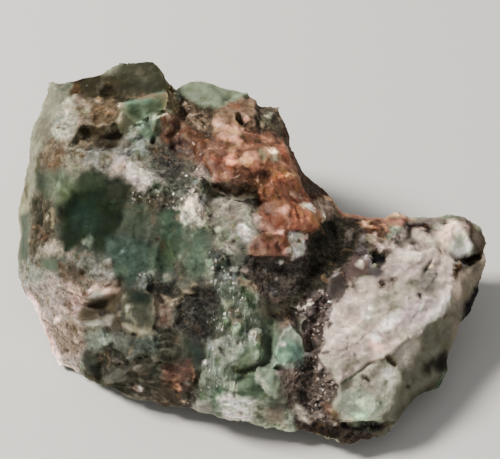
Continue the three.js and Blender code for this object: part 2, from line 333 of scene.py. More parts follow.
# Zones that the observer sees: the colour as seen, the finish, the mm over which the border fades, and the
# corners as (across, up) in mm. A zone with a cut is made flat, lifted in mm and leaned, as rise towards the
# observer per mm across and up. A zone with a swell stands out by that many mm, or lies in where it is
# negative. Edge is the mm over which a cut or a swell sets in.
def zone(seen, finish, soft, corners, cut=None, swell=0, edge=0.3):
    return dict(seen=seen, finish=finish, soft=soft, corners=corners, cut=cut, swell=swell, edge=edge)


zones = {
    # what lies under the finer zones
    "blockGround": zone((134, 127, 110), "grain", 1, [(-50, -8), (-46, 34), (-16, 38), (-8, 24), (-8, 10),
        (4, 8), (3, -6), (-6, -11), (-34, -12)]),
    "greenGround": zone((91, 97, 83), "jade", 1.2, [(-42, 12), (-34, 12), (-24, 9), (-15, 6), (-8, 7),
        (-7, -10), (-14, -11.4), (-28, -11), (-42, -7)]),
    "crustGround": zone((135, 127, 114), "crust", 0.9, [(-50, -6), (-28, -7), (-26, -12), (-34, -20),
        (-34, -34), (-50, -30)]),
    "lowGround": zone((81, 77, 64), "layered", 0.8, [(-34, -19), (-26, -12), (-20, -9), (-6, -11), (-5, -22),
        (-9, -38), (-34, -34)]),
    "brightGround": zone((97, 102, 85), "crystal", 0.8, [(-8, -9), (3, -13), (9, -19), (11, -46), (-12, -42),
        (-9, -24), (-6, -20)]),
    "rustGround": zone((55, 26, 14), "rust", 0.7, [(-18, 23), (-8, 20), (-7, 27), (3, 27), (9, 14), (15, 4),
        (8, -6), (0, -5), (2, 8), (-8, 10)]),
    "matrixGround": zone((74, 59, 51), "soot", 0.7, [(-2, -5), (9, -5), (12, 3), (24, 3), (24, -8), (17, -12),
        (16, -24), (18, -32), (14, -44), (8, -44), (6, -26), (9, -20), (2, -14)]),
    "lobeGround": zone((105, 96, 83), "marble", 0.5, [(15, -24), (17, -13), (24, -9), (31, 2), (44, 3),
        (49, -6), (43, -26), (30, -40), (17, -39)]),
    # the left edge and the upper left corner
    "rim": zone((164, 162, 141), "satin", 0.7, [(-40.6, 31.4), (-35.4, 31.4), (-35.4, 26.8), (-37.4, 24.4),
        (-39.6, 21), (-41, 17), (-42.6, 12.4), (-42.6, 6.8), (-44, 5), (-44, -6.8), (-49, -7.4), (-49, 5),
        (-47, 13), (-46, 20), (-43, 26)]),
    "rimShade": zone((119, 122, 99), "satin", 0.8, [(-38.8, 29.4), (-36, 30), (-35.6, 27), (-37.2, 25),
        (-38.4, 26.4)]),
    "rimInner": zone((128, 122, 99), "satin", 1, [(-41.8, 22), (-39.8, 23), (-39.4, 19), (-40.6, 17.4),
        (-42.4, 18)]),
    "rimCrust": zone((178, 173, 158), "crust", 0.8, [(-37, 26.4), (-35.2, 27), (-34.4, 24), (-34.8, 19.6),
        (-36.4, 17.6), (-38.8, 18), (-39.8, 21), (-39, 24)]),
    "paleGrain": zone((162, 156, 135), "crust", 0.9, [(-37.6, 17.8), (-34.4, 17.4), (-32.8, 15.8),
        (-32.6, 12.4), (-35.6, 11), (-38, 11.8), (-37, 14)]),
    "brownPatch": zone((123, 108, 85), "earth", 1, [(-42, 14.2), (-40.8, 17.6), (-38.4, 17.6), (-36.6, 15),
        (-37.4, 12.4), (-39.4, 11.8), (-41.4, 12.2)]),
    "leftBand": zone((170, 166, 140), "satin", 0.4, [(-46.4, 12.4), (-45, 12.8), (-44.6, 6), (-45, 0),
        (-45.6, -6), (-48.4, -7), (-48.2, 4)]),
    "leftGreen": zone((93, 104, 84), "waxy", 0.5, [(-45.7, 3.6), (-44.2, 3), (-44, -6.4), (-46.4, -7),
        (-46, -2)]),
    "leftShade": zone((71, 79, 60), "clear", 0.9, [(-43.2, 11.8), (-41, 11.6), (-40.4, 9.4), (-40.4, 5.6),
        (-42.8, 6)]),
    # the blades at the top left
    "backBlade": zone((54, 49, 30), "clear", 0.3, [(-35.7, 30.4), (-32, 31.6), (-29, 32.8), (-26, 34.6),
        (-19.4, 35.6), (-16.4, 30.6), (-14.6, 27), (-16.2, 26.4), (-16.8, 27.8), (-25.3, 25.3), (-31.3, 26),
        (-35.9, 26.8)], cut=(-0.5, 0, -0.05), edge=0.5),
    "backBladeGreen": zone((72, 71, 52), "clear", 1.4, [(-27, 33.6), (-20, 34.6), (-17, 30), (-17.6, 27.8),
        (-23.6, 26.2), (-25, 29.8)]),
    "bladeTop": zone((142, 142, 121), "clear", 0.9, [(-31, 32), (-26.4, 34.6), (-25.6, 33.4), (-26.6, 31.2),
        (-29, 30.8)]),
    "frontBlade": zone((76, 89, 63), "clear", 0.25, [(-26.6, 25), (-25.3, 25.4), (-16.8, 27.9), (-16, 27.4),
        (-15.9, 24.6), (-16.6, 23.8), (-19.4, 22.8), (-21.6, 21.4), (-23.4, 20.8),
        (-24.6, 22.6)], cut=(1.1, 0.02, 0.1)),
    "bladeLight": zone((126, 148, 125), "waxy", 0.5, [(-25.2, 25.4), (-16.9, 27.9), (-17, 26.8),
        (-20.4, 25.6), (-24.6, 24.5)]),
    "bladeTan": zone((112, 104, 70), "waxy", 0.4, [(-17.2, 27.6), (-16, 27.4), (-15.9, 24.6), (-16.9, 24.4)]),
    "bladeFlank": zone((93, 81, 56), "earth", 0.3, [(-16, 28.4), (-14.4, 26.4), (-12.9, 23.6), (-13.2, 22.2),
        (-14.8, 22.8), (-15.8, 25)], cut=(-0.8, -0.9, 0), edge=0.4),
    "tanLedgePale": zone((141, 123, 104), "crust", 0.5, [(-35.4, 26.8), (-33, 26.6), (-31.8, 25.4),
        (-31.4, 22), (-32, 20.6), (-34.4, 20.4), (-35.2, 23)], swell=0.3, edge=0.7),
    "tanLedge": zone((121, 103, 75), "earth", 0.5, [(-32.4, 25.6), (-30, 25.6), (-27.6, 26.4), (-26.2, 25),
        (-25.8, 23.8), (-27, 21.6), (-29, 20.6), (-31.6, 20.4)], swell=0.2, edge=0.5),
    "leaningFace": zone((97, 96, 73), "waxy", 0.4, [(-25.8, 23.9), (-24.4, 22.6), (-22.6, 20.4),
        (-24.4, 18.6), (-27.4, 19.4), (-27, 21)], cut=(0.3, 0, 0), edge=0.5),
    "greenChip": zone((107, 123, 101), "clear", 0.5, [(-22.4, 20.6), (-20, 21.8), (-18, 22), (-17.8, 20),
        (-19, 18), (-21.4, 17.4), (-22, 18.8)]),
    # the hollow under the tan ledge: brown, partly its own colour and partly painted shade of the ledge above
    "ledgeHollow": zone((113, 101, 76), "earth", 0.9, [(-34.8, 20.3), (-31, 20.5), (-28.4, 20.6),
        (-26.8, 19.4), (-25.8, 16.8), (-28.4, 15.6), (-30.6, 16.6), (-32.6, 17),
        (-34.4, 17.8)], swell=0.3, edge=0.9),
    # painted shadow: the dark foot of the hollow under the tan ledge
    "ledgeHollowShadow": zone((32, 26, 15), "earth", 1.1, [(-32.4, 17.4), (-27.6, 17.6), (-26, 16), (-28, 15.2),
        (-32, 15.6)]),
    # the white streaks and the speckled grey
    "whiteStreaks": zone((139, 137, 127), "crust", 1, [(-34.6, 15.8), (-31.4, 16.2), (-27.6, 15.2),
        (-26, 17.4), (-23.4, 19.2), (-20.8, 18.4), (-21, 15.6), (-17.8, 11.8), (-18.4, 8.6), (-21, 6.8),
        (-23.6, 9), (-27, 10.4), (-30, 12), (-33.4, 12)], swell=0.3, edge=1),
    "whitest": zone((193, 184, 177), "crust", 1, [(-27.6, 14.2), (-24.4, 14.6), (-21.6, 13.4), (-18.6, 10.6),
        (-19.8, 8.4), (-20.8, 7.4), (-23.4, 9.2), (-26.6, 10.8), (-28.4, 12.6)]),
    "whiteUpper": zone((157, 162, 152), "crust", 0.8, [(-24.2, 18.6), (-21, 18), (-20.4, 15.6), (-23, 15.2)]),
    "purpleGrey": zone((69, 66, 58), "soot", 1.4, [(-18.4, 18.6), (-16.8, 17.6), (-14.4, 15.6), (-12.6, 13.4),
        (-12.8, 10.6), (-16, 9.4), (-17.6, 9.8), (-18.8, 12), (-20.6, 14.4)]),
    "speckledGrey": zone((69, 71, 55), "druse", 0.9, [(-19.4, 10.8), (-16, 9.8), (-12.8, 11.6), (-9.6, 13),
        (-8.4, 11), (-9, 7), (-13, 6.4), (-14.4, 4.4), (-19, 5.6), (-20.6, 7)]),
    "greenishGrey": zone((96, 104, 84), "grain", 0.8, [(-19.8, 10.6), (-17.2, 10), (-16.6, 7.6), (-19.4, 7)]),
    "underSpeckles": zone((54, 49, 27), "druse", 1, [(-24, 8.8), (-20.6, 7.2), (-15.6, 7), (-14.8, 4.2),
        (-18, 2.8), (-21.2, 3.4), (-23.8, 5.8)]),
    # the dark pool and the greens around it
    "poolBank": zone((118, 125, 102), "clear", 0.8, [(-40.6, 11.4), (-37.6, 11.8), (-34.8, 11.2),
        (-34.6, 8.6), (-36.4, 6), (-38.6, 4.8), (-40, 6.2)]),
    "bankOlive": zone((84, 97, 61), "clear", 1.2, [(-37.8, 9), (-35.2, 9.8), (-34.8, 7), (-37, 4.6),
        (-38.8, 4.6)]),
    "pool": zone((22, 35, 17), "clear", 1.1, [(-38.4, 5), (-36.4, 6.6), (-35.2, 8.6), (-34.2, 10.8),
        (-31.6, 11.8), (-28.6, 11.2), (-26, 10.2), (-24, 8.8), (-23.8, 5.6), (-24.8, 3), (-25.4, 0.4),
        (-26.6, -1.6), (-28.6, -4.6), (-30.6, -5), (-33.6, -3.8), (-37.4, -4.8), (-38.4, -2), (-38.2, 2)]),
    "poolGreen": zone((48, 61, 40), "clear", 1.3, [(-34.6, 10.6), (-31.6, 11.6), (-28.6, 10.6), (-29, 8.4),
        (-34, 8)]),
    "poolBlue": zone((29, 50, 34), "clear", 1.6, [(-36, 4.8), (-31, 6), (-30, 1), (-31, -1), (-35.4, -0.6)]),
    "poolBrown": zone((41, 46, 31), "clear", 1.1, [(-28.6, 9.4), (-25.4, 9.6), (-24.6, 6), (-26.4, 4.4),
        (-28.4, 6)]),
    "granularBrown": zone((84, 77, 58), "earth", 0.6, [(-43.6, 6.6), (-42, 6.8), (-40.4, 5.8), (-39.2, 5),
        (-38.6, 2), (-38.8, -3.4), (-41, -2.4), (-42.6, -5.4), (-43.8, -5)]),
    "greenLeft": zone((70, 80, 61), "jade", 0.7, [(-24.6, 5.6), (-20.8, 5.2), (-20.2, 0), (-21.4, -2),
        (-25.6, -1.4), (-25, 2)]),
    "greenMiddle": zone((68, 75, 58), "jade", 0.7, [(-20.6, 3.4), (-17.4, 3.6), (-17, -3), (-20.4, -3)]),
    "greenDeep": zone((68, 88, 67), "jade", 0.7, [(-17.6, 3.8), (-14, 4.2), (-13.4, 1), (-13.2, -4),
        (-15, -8.6), (-18.4, -8.8), (-17.8, -3)]),
    "oliveGreen": zone((65, 83, 53), "jade", 0.7, [(-17.6, -1.6), (-15.2, -2), (-14.8, -7.4), (-17.6, -7.6)]),
    "mottledPale": zone((146, 140, 126), "grain", 0.8, [(-8.6, 6.4), (-5, 7.4), (-1, 6.9), (1.6, 5.4),
        (1.8, 3), (1.6, -1.2), (-0.6, -4.6), (-5.6, -5), (-7.2, -2.4), (-9.4, 0.4)]),
    "mottledOlive": zone((97, 102, 78), "grain", 0.8, [(-9.6, 0.8), (-6, 1), (-3.6, 0.2), (-4.4, -2.4),
        (-7.4, -2.4), (-8.6, -1)]),
    "mottledWhite": zone((153, 149, 135), "grain", 0.7, [(-3, 2.6), (0.4, 2.8), (1.2, 0), (-0.2, -3),
        (-2, -1.4)]),
    "blueGreen": zone((62, 81, 65), "jade", 0.5, [(-28.8, -2), (-25.8, -1.4), (-22, -1.8), (-20, -2.4),
        (-19.8, -8.2), (-21.4, -9.2), (-23.4, -11.2), (-25.6, -10.8), (-27.2, -8), (-28.4, -5)]),
    "tealDark": zone((65, 81, 61), "jade", 0.7, [(-20.2, -2.6), (-18, -2.8), (-17.8, -8.6), (-20, -8.6)]),
    "midGreen": zone((90, 103, 82), "jade", 0.7, [(-13.6, 0.6), (-9.8, 0.6), (-8.4, -2), (-7.8, -6),
        (-8.2, -9), (-11, -10.6), (-14, -9.6), (-14.4, -4)]),
    "brownBits": zone((81, 75, 61), "grain", 0.6, [(-15, -5.6), (-13.4, -5.8), (-12.4, -9), (-13.6, -10.4),
        (-15.4, -9)]),
    "greyBits": zone((48, 54, 42), "druse", 0.6, [(-7.4, -3), (-4.6, -3.6), (-3.4, -5), (-2, -6), (0.6, -6.2),
        (0.4, -8.4), (-3.4, -10.6), (-7.4, -10.4), (-8, -6)]),
    "oliveCore": zone((108, 109, 97), "waxy", 0.6, [(-4, -4.6), (-1.4, -5), (-0.6, -7), (-3.4, -7.2)]),
    # the pale dome and the rust
    "speckledBrown": zone((133, 112, 88), "druse", 0.5, [(-14.6, 26.3), (-12.4, 26.2), (-9.6, 24.8),
        (-7, 24.2), (-7.4, 21.6), (-7.8, 18.4), (-10, 19.6), (-12.4, 21.4), (-15, 22.8),
        (-13.2, 24)], swell=-0.5, edge=0.5),
    "domeUnder": zone((71, 62, 43), "earth", 0.5, [(-14.4, 26.4), (-11, 26), (-8.6, 24.8), (-6.6, 24.4),
        (-7.2, 22.8), (-9.4, 23.4), (-12.4, 25.2)]),
    "dome": zone((136, 144, 121), "waxy", 0.3, [(-15.2, 27.2), (-12, 29.8), (-7, 31), (-3, 30), (0.6, 27.2),
        (-0.8, 26.4), (-2.6, 25.6), (-4.4, 24.8), (-7, 24.2), (-9.6, 24.8), (-12.4, 26.2),
        (-14.6, 26.2)], swell=0.5, edge=0.4),
    "knob": zone((135, 110, 85), "rust", 0.3, [(-6.8, 23.8), (-4.6, 25), (-1.4, 26.6), (1, 26.9), (1.6, 23),
        (1.4, 20.4), (0, 19.6), (-1, 19.4), (-2.6, 18), (-5, 17.6), (-7.4, 18.4),
        (-7.6, 21.6)], swell=0.9, edge=0.5),
    "knobShine": zone((182, 149, 125), "rust", 0.4, [(-7.4, 21.8), (-6.2, 22.6), (-5.2, 21), (-3, 20.8),
        (-1.2, 19.6), (-2.8, 18), (-5.2, 17.8), (-7.2, 18.4)]),
    "greyChunk": zone((80, 68, 54), "grain", 0.5, [(1.4, 25.8), (5.8, 24.8), (6.2, 19), (3.2, 19.6),
        (1.6, 20.4)]),
    "lined": zone((46, 27, 14), "lined", 0.4, [(5.6, 25), (8, 20.4), (10, 15.4), (11.6, 12.2), (15, 8.4),
        (18.4, 4.8), (13.8, 5.6), (11, 5), (10, 8.3), (9.2, 12), (6.6, 18.2)]),
    "greyCorner": zone((146, 127, 111), "grain", 0.4, [(12.8, 5.8), (16.4, 5.6), (17.4, 3), (15.4, 1.6),
        (13.8, 2.2)]),
    "rustArm": zone((93, 55, 32), "rust", 0.8, [(-18, 22.4), (-16, 23.4), (-14.4, 22.6), (-12, 21.2),
        (-9.4, 19.2), (-7.8, 17.8), (-7.6, 13.4), (-8.8, 12.2), (-10.6, 13), (-13, 14.4), (-15.4, 16),
        (-17.6, 18.6)], swell=0.3, edge=1),
    "rustMiddle": zone((112, 70, 46), "rust", 0.35, [(-8.4, 17.8), (-4, 17.4), (-0.7, 19.2), (3.3, 19.6),
        (6.6, 18), (8.6, 14.4), (9.8, 11), (9.4, 8.4), (3.6, 11), (0.8, 12), (-2, 11.6), (-4.6, 10.2),
        (-7, 9.6), (-8, 11.4), (-8.6, 14)], swell=0.8, edge=0.5),
    "rustShade": zone((89, 51, 32), "rust", 0.5, [(-4.6, 10.2), (-2, 11.6), (0.8, 12.2), (3.4, 12.8),
        (4, 9.6), (3, 8), (0, 8), (-3.2, 9)]),
    "ledgeShadow": zone((32, 23, 14), "earth", 0.6, [(-8, 9.2), (-4.9, 9.5), (-2.6, 9.1), (0.8, 8.9),
        (3, 8.1), (1.8, 6.9), (-2.6, 6.6), (-7, 7.4)]),
    "rustLow": zone((126, 76, 55), "rust", 0.4, [(2.2, 8.4), (4.6, 10.6), (9.6, 10.8), (10.2, 8), (12.4, 4.6),
        (15, 2), (12.4, -0.6), (9.8, 0), (8, -0.2), (7, -0.4), (5, 0.4), (3.4, 1),
        (1.8, 3)], swell=0.6, edge=0.5),
    "rustDeep": zone((126, 84, 72), "rust", 0.4, [(0, -2), (3.2, -0.6), (6.4, -0.4), (8, -2), (8, -5.4),
        (6.4, -5.4), (2, -5.8), (-0.6, -5)], swell=0.5, edge=0.5),
    "crystalWhite": zone((205, 179, 173), "crust", 0.4, [(7.8, -0.4), (9.6, -0.8), (11, -1.6), (10.4, -3),
        (10.6, -5), (8.4, -5.6), (8, -4)]),
    # the dark matrix and the saddle
    "saddleRust": zone((160, 115, 96), "rust", 0.4, [(16.6, 6.4), (19.4, 5.2), (23, 4.6), (26.4, 4),
        (29, 2.6), (31.6, 2.2), (33.6, 2.4), (29.6, 0.4), (26, 1.4), (22.8, 2.6), (18.4, 3)]),
    "saddleOchre": zone((80, 50, 31), "earth", 0.4, [(22.8, 2.2), (25.6, 2), (27.6, 0.8), (28.4, -0.6),
        (27, -1.8), (24.6, -1.6), (23.2, -0.6)]),
    "darkMatrix": zone((50, 46, 35), "soot", 0.5, [(13.6, 1.6), (16.4, 2.4), (18, 3.2), (20.4, 2),
        (22.2, 1.8), (22.6, 0), (21.6, -2.6), (21, -5), (18.6, -7.4), (16, -9.6), (15.4, -12), (12.4, -13.6),
        (9, -16), (6, -15), (9.6, -11.7), (11, -8), (10.8, -2.4), (11.8, -0.8)], swell=-0.5, edge=0.9),
    "blackBand": zone((69, 61, 52), "soot", 0.6, [(-0.8, -5.8), (3, -5.6), (10.8, -5.6), (11.4, -8),
        (10, -11.8), (6.6, -14), (3.4, -13.4), (2.4, -10.6), (-0.6, -9.6), (-1.8, -8)], swell=-0.3, edge=0.6),
    "underBand": zone((62, 58, 47), "clear", 0.9, [(-2, -13.6), (2.4, -13.4), (6, -14.6), (9.4, -16),
        (8.6, -18.4), (6.4, -19.6), (3, -18.6), (1.4, -16)]),
    "deepRight": zone((125, 137, 114), "clear", 0.6, [(2.4, -18), (5.4, -19), (5.8, -21.6), (4.8, -24.4),
        (4.4, -27), (2.6, -27), (1.8, -24), (2.6, -21)], swell=-0.6, edge=0.7),
    "tanTop": zone((141, 129, 117), "earth", 0.5, [(6.2, -18.6), (8.6, -17), (9, -19.4), (7.4, -20),
        (5.6, -20.2)]),
    # the druse column
    "druseTop": zone((96, 79, 69), "druse", 0.35, [(11.6, -13), (13.4, -12.4), (15.4, -11.8), (16.4, -14.2),
        (16, -16), (15.2, -18.4), (15, -21.4), (14.6, -24), (13, -24.8), (11.4, -24.6), (11, -21),
        (9.4, -20.6), (8.6, -17.6), (9.2, -16)], swell=-0.6, edge=0.5),
    "druseGlitter": zone((202, 193, 186), "druse", 0.6, [(9.4, -15.4), (11.2, -14.2), (13.2, -15),
        (12.4, -16.6), (10, -17)]),
    "druseFoot": zone((113, 98, 85), "druse", 0.35, [(5.8, -27.4), (8.6, -26.8), (11.3, -25), (13.6, -24.6),
        (14.4, -27), (15.6, -29), (17.6, -31.2), (16.4, -33.6), (14.6, -34.6), (14.4, -36), (17.6, -38.4),
        (19.4, -40.4), (16.4, -43.6), (12, -42), (9.6, -40.4), (8.6, -37.6), (8, -34.6),
        (6.6, -31)], swell=-0.5, edge=0.5),
    # painted shade on the stone's underside near the floor
    "footBaseShade": zone((38, 31, 25), "earth", 0.5, [(9.4, -38.6), (14, -38.4), (19, -39.4), (25, -40.4),
        (28.6, -39.4), (27, -42.4), (22, -45), (16, -46), (10.4, -43)]),
    "ochreSpot": zone((90, 64, 46), "rust", 0.5, [(14, -34.8), (15.8, -34.8), (17.6, -36.6), (18.2, -38.4),
        (16, -38), (14.2, -36)]),
    "creamWedge": zone((197, 190, 179), "crust", 0.4, [(8.6, -35.6), (9.6, -34.8), (11, -36), (12, -38.8),
        (10.4, -38.6), (9, -37)]),
    # the pale lobe
    "lobeFace": zone((191, 180, 171), "marble", 0.3, [(16.2, -16), (17.4, -13.4), (19.6, -11), (21.6, -9.8),
        (24.4, -9.6), (26.6, -7.8), (28.2, -5.2), (30, -3.6), (33, -3), (37, -2.6), (39, -4.6), (40.8, -6.4),
        (40.4, -9), (40.2, -12), (39.6, -15.4), (37, -18), (33.4, -20.8), (29.6, -23.2), (26.8, -25.2),
        (24, -26.8), (20.6, -29.2), (18, -31.2), (16.4, -30), (14.8, -27.6), (14.2, -25), (15, -22.6),
        (14.9, -20), (15.6, -18)], cut=(0.2, 0, 0), edge=2.6),
    "lobeStriped": zone((170, 158, 148), "marble", 1, [(14.4, -25), (18, -24), (22, -25.4), (23.8, -26.8),
        (20.4, -29.2), (18, -31), (16, -29.6)]),
    "lobeGreen": zone((158, 148, 133), "marble", 1.4, [(24.6, -12), (28.4, -11.8), (29, -15), (25.6, -16.4)]),
    "lobeGrey": zone((151, 143, 132), "marble", 1.4, [(31.6, -9.4), (35.4, -7.4), (38.4, -8.4), (39, -12),
        (35.6, -13), (32.4, -12)]),
    "lobeCrease": zone((75, 63, 46), "marble", 0.8, [(33.6, -9.6), (36.6, -6.4), (38.6, -4.8), (38, -6.8),
        (35.4, -9)]),
    "lobeLilac": zone((185, 170, 169), "marble", 1.2, [(31, -14), (38.6, -13.6), (39.2, -15.6), (36, -18.4),
        (32, -20.6), (30, -18)]),
    "lobeTop": zone((146, 133, 122), "satin", 0.5, [(29.4, -1.2), (31.6, 1.6), (34, 2.2), (37, 2.4),
        (38.6, 1.8), (37.4, -1.6), (35, -3), (31, -3.2)]),
    "lobeDark": zone((30, 17, 14), "soot", 0.4, [(31.4, 0.2), (32.6, 1.4), (35.4, 1.6), (36.4, 0.4),
        (37, -0.9), (35.2, -0.6), (33.4, 0), (32, -0.8)]),
    "lobePatch": zone((205, 195, 185), "marble", 0.35, [(32.4, -0.8), (33.6, -0.2), (35, -0.7), (37, -1.4),
        (36.6, -2.5), (33.8, -2.3)]),
    "greyMix": zone((63, 50, 45), "grain", 0.5, [(21.6, -2.6), (23, -0.8), (25, -1.6), (27, -2.4), (30, -2.8),
        (28.6, -4.6), (26.6, -4.8), (24, -4.4), (22.4, -5.4)]),
    "crystalLump": zone((153, 145, 144), "druse", 0.4, [(21.8, -5.8), (23.4, -4.8), (24.2, -6.4), (23.6, -8),
        (22, -7.4)]),
    "darkPocket": zone((14, 14, 14), "soot", 0.35, [(23.8, -4.8), (25, -4.4), (27.4, -5.2), (27.6, -6.8),
        (26, -7.6), (24.2, -6.6)], swell=-0.8, edge=0.5),
    "greySlate": zone((82, 73, 71), "waxy", 0.4, [(23.4, -7.2), (26.4, -7.5), (26.8, -9), (25.4, -10),
        (23.6, -9)]),
    "brownChip": zone((70, 60, 54), "waxy", 0.25, [(15.8, -9.8), (16.8, -8.6), (18, -8.2), (18.8, -9.6),
        (19.6, -11), (18, -13), (16.6, -14.4), (15.6, -12.4)], cut=(0.4, 0, 0)),
    "brownChipHigh": zone((110, 89, 82), "waxy", 0.3, [(18.8, -7.6), (21, -5.6), (23.4, -6), (23.8, -8.6),
        (21.4, -9.6), (20.2, -11.2), (19.2, -9.4)], cut=(0.4, 0, 0)),
    "brownChipLow": zone((122, 114, 104), "waxy", 0.3, [(9, -16.6), (10.6, -17), (11.2, -18.6), (10.6, -21),
        (9.8, -21), (9.2, -19)], cut=(0.4, 0, 0)),
    "lobeChunk": zone((212, 198, 187), "marble", 0.5, [(37.2, -2), (38.6, 0.6), (40.8, 1.6), (42.4, 1),
        (43.8, -1), (44.4, -2.8), (43.8, -5), (41.4, -5.2), (39.6, -4.6), (38, -3.2)], swell=0.6, edge=0.6),
    "tip": zone((61, 48, 36), "waxy", 0.3, [(42.8, 2), (44.6, 1.2), (46.6, -0.4), (49.2, -3), (48.4, -5),
        (46.4, -4.9), (44.8, -4.5), (44.4, -2.8), (43.8, -1)]),
    "tipFacet": zone((91, 80, 68), "waxy", 0.4, [(44.2, -0.4), (45.6, -0.8), (46.4, -3), (45, -3.6)]),
    "cream": zone((105, 94, 79), "waxy", 0.35, [(46, -5), (47.4, -5.4), (48, -7.4), (46.6, -9.4), (44.6, -12),
        (42.6, -14.4), (41.6, -15.6), (40.6, -14), (41.4, -11.4), (43.6, -8.2), (44.6, -7)]),
    "creamPink": zone((166, 150, 135), "waxy", 0.5, [(40.4, -10.6), (41.8, -9), (43.4, -7.6), (43.6, -8.6),
        (42.2, -11.4), (41.2, -13.4), (40.4, -13.4)]),
    "brownLine": zone((57, 38, 21), "earth", 0.4, [(40.4, -7), (42, -6.8), (42.2, -8.2), (40.8, -10.4),
        (40.2, -10)]),
    # painted shadow in the crevice under the lobe chunk
    "creviceShadow": zone((38, 26, 14), "earth", 0.25, [(40.6, -5.6), (42, -5.2), (44.4, -5), (46.6, -4.8),
        (46.2, -6), (44.4, -7), (43.4, -7), (42.6, -6.2), (41, -6.4)], swell=-0.6, edge=0.4),
    "darkStrip": zone((14, 14, 14), "earth", 0.35, [(46.8, -9.2), (48, -9.6), (46, -13), (43.8, -17.4),
        (42.6, -19.8), (41.8, -18), (42.6, -14.6), (44.6, -12)]),
    "sideFace": zone((87, 84, 69), "waxy", 0.3, [(33.4, -20.9), (37, -18.1), (39.8, -15.6), (42.4, -17),
        (42.4, -22.6), (41.4, -26), (39.8, -29.6), (37, -33.4), (32, -36.6), (29.4, -39), (27, -38.4),
        (28.4, -35), (29.6, -31), (30.2, -28), (29.2, -26.4), (28.4, -24.6)], cut=(0, 0, 0), edge=2.6),
    "sideBright": zone((144, 136, 125), "waxy", 0.9, [(28.6, -24.4), (33, -21.2), (34.6, -21.4), (33.4, -25),
        (31, -28), (30.2, -28.6), (29.6, -26)]),
    "sideLight": zone((92, 84, 70), "waxy", 0.5, [(40, -15), (41.8, -15.8), (42.4, -19), (41.8, -22.4),
        (40.2, -22), (39.8, -18)]),
    "sideDark": zone((21, 18, 14), "waxy", 0.7, [(34.6, -27), (36.4, -25.6), (39.4, -24), (40.6, -26),
        (38.8, -28.4), (36.6, -28), (35, -29.6)]),
    "sideLow": zone((54, 51, 36), "waxy", 0.8, [(29.4, -36.6), (32.4, -33.4), (36, -30.8), (39.6, -29.4),
        (37, -33.6), (32, -37), (29, -38.6)]),
    "mintFace": zone((165, 160, 145), "satin", 0.3, [(26.6, -25.9), (28.2, -26), (29.8, -27.8), (30.2, -29.6),
        (28.8, -33), (27.4, -36.4), (25.4, -38), (20, -38.8), (18, -38), (16.6, -35), (17.6, -32.4),
        (20.6, -29.4), (23.6, -27.2)], cut=(-0.1, 0, 0), edge=1.8),
    "mintGreen": zone((145, 151, 133), "satin", 1.2, [(18, -33), (21.6, -31.4), (24.6, -33.6), (26.6, -33.4),
        (27.6, -35), (25.6, -38), (20, -38.8), (17.6, -36)]),
    # painted shade in the undercut groove under the mint face
    "underGapShade": zone((18, 14, 14), "earth", 0.3, [(17.6, -38.6), (20.4, -38.6), (25.4, -38.4), (29, -38.6),
        (26, -40.2), (21, -40.2), (18.4, -40)], swell=-0.6, edge=0.4),
    "underPale": zone((81, 78, 66), "waxy", 0.4, [(25.4, -40.4), (28.4, -38.8), (29, -40), (27.4, -42),
        (25, -41.4)]),
    # the crusted lower left
    "lowCrust": zone((168, 157, 147), "crust", 0.6, [(-49, -7), (-43.4, -7.2), (-40, -8.6), (-36.8, -10.2),
        (-33.6, -11.4), (-33, -13.4), (-34.6, -17.3), (-33.8, -20), (-33.4, -24.6), (-34.6, -27.4),
        (-33.4, -30.6), (-38, -31), (-41, -26), (-45, -16), (-49, -11)]),
    "crustGreen": zone((152, 154, 140), "crust", 1.1, [(-46.6, -6.6), (-42.6, -7), (-41.4, -9.6),
        (-43.4, -11.6), (-46, -10)]),
    "crustPink": zone((181, 158, 147), "crust", 0.8, [(-37.4, -10.2), (-33.6, -10.6), (-33.2, -13.6),
        (-34.4, -17.4), (-36.4, -17), (-36.2, -13)]),
    "brightEdge": zone((217, 202, 197), "crust", 0.6, [(-44.8, -12.6), (-43, -13), (-41.6, -16.6),
        (-40.4, -20), (-38.4, -24.6), (-37.6, -27.6), (-40.2, -28.8), (-42.8, -22)]),
    "beigeCrust": zone((155, 139, 122), "crust", 0.8, [(-39.6, -17.6), (-35.6, -17.6), (-33.4, -18.8),
        (-33.2, -23.4), (-35.6, -26), (-38, -25), (-39.4, -21)]),
    "brownHollow": zone((92, 79, 62), "earth", 0.5, [(-38.6, -6.4), (-36.6, -6.6), (-34, -8), (-32.6, -8.6),
        (-33.4, -10.4), (-36.8, -10.2), (-38.6, -9)]),
    "greenPatch": zone((101, 116, 92), "waxy", 0.5, [(-41.6, -6), (-38.6, -6.2), (-38.6, -8.6),
        (-41.4, -8.4)]),
    "leftLump": zone((169, 160, 144), "crust", 0.4, [(-41.8, -3.6), (-39.8, -2), (-38.2, -2.4), (-37.4, -4.6),
        (-38, -5.6), (-41.8, -5.4), (-43, -6)]),
    "paleLumps": zone((108, 107, 94), "crust", 0.4, [(-35.4, -4.8), (-33, -4), (-31.2, -4.8), (-30.6, -7),
        (-33, -7.8), (-35.2, -7.4)], swell=0.4, edge=0.6),
    "paleLumpsLow": zone((140, 138, 130), "crust", 0.4, [(-31.8, -7.6), (-29.6, -6.6), (-28, -6),
        (-27.6, -9.4), (-30, -9.8), (-32, -9.2)], swell=0.4, edge=0.6),
    "redLine": zone((132, 116, 100), "earth", 0.35, [(-33.4, -10.8), (-31.4, -11.4), (-26, -11.2),
        (-25.6, -10.2), (-28, -10), (-31, -10.6)]),
    # cream, partly its own colour and partly painted highlight where the ridge catches the light
    "paleWedge": zone((215, 201, 191), "waxy", 0.7, [(-32.6, -13.2), (-31, -11.8), (-28.6, -11.4),
        (-26.4, -11.4), (-27.4, -12.6), (-29.4, -13.4), (-32.4, -14)]),
    # the lens hollow: brown, partly its own colour and partly painted shade of the scoop
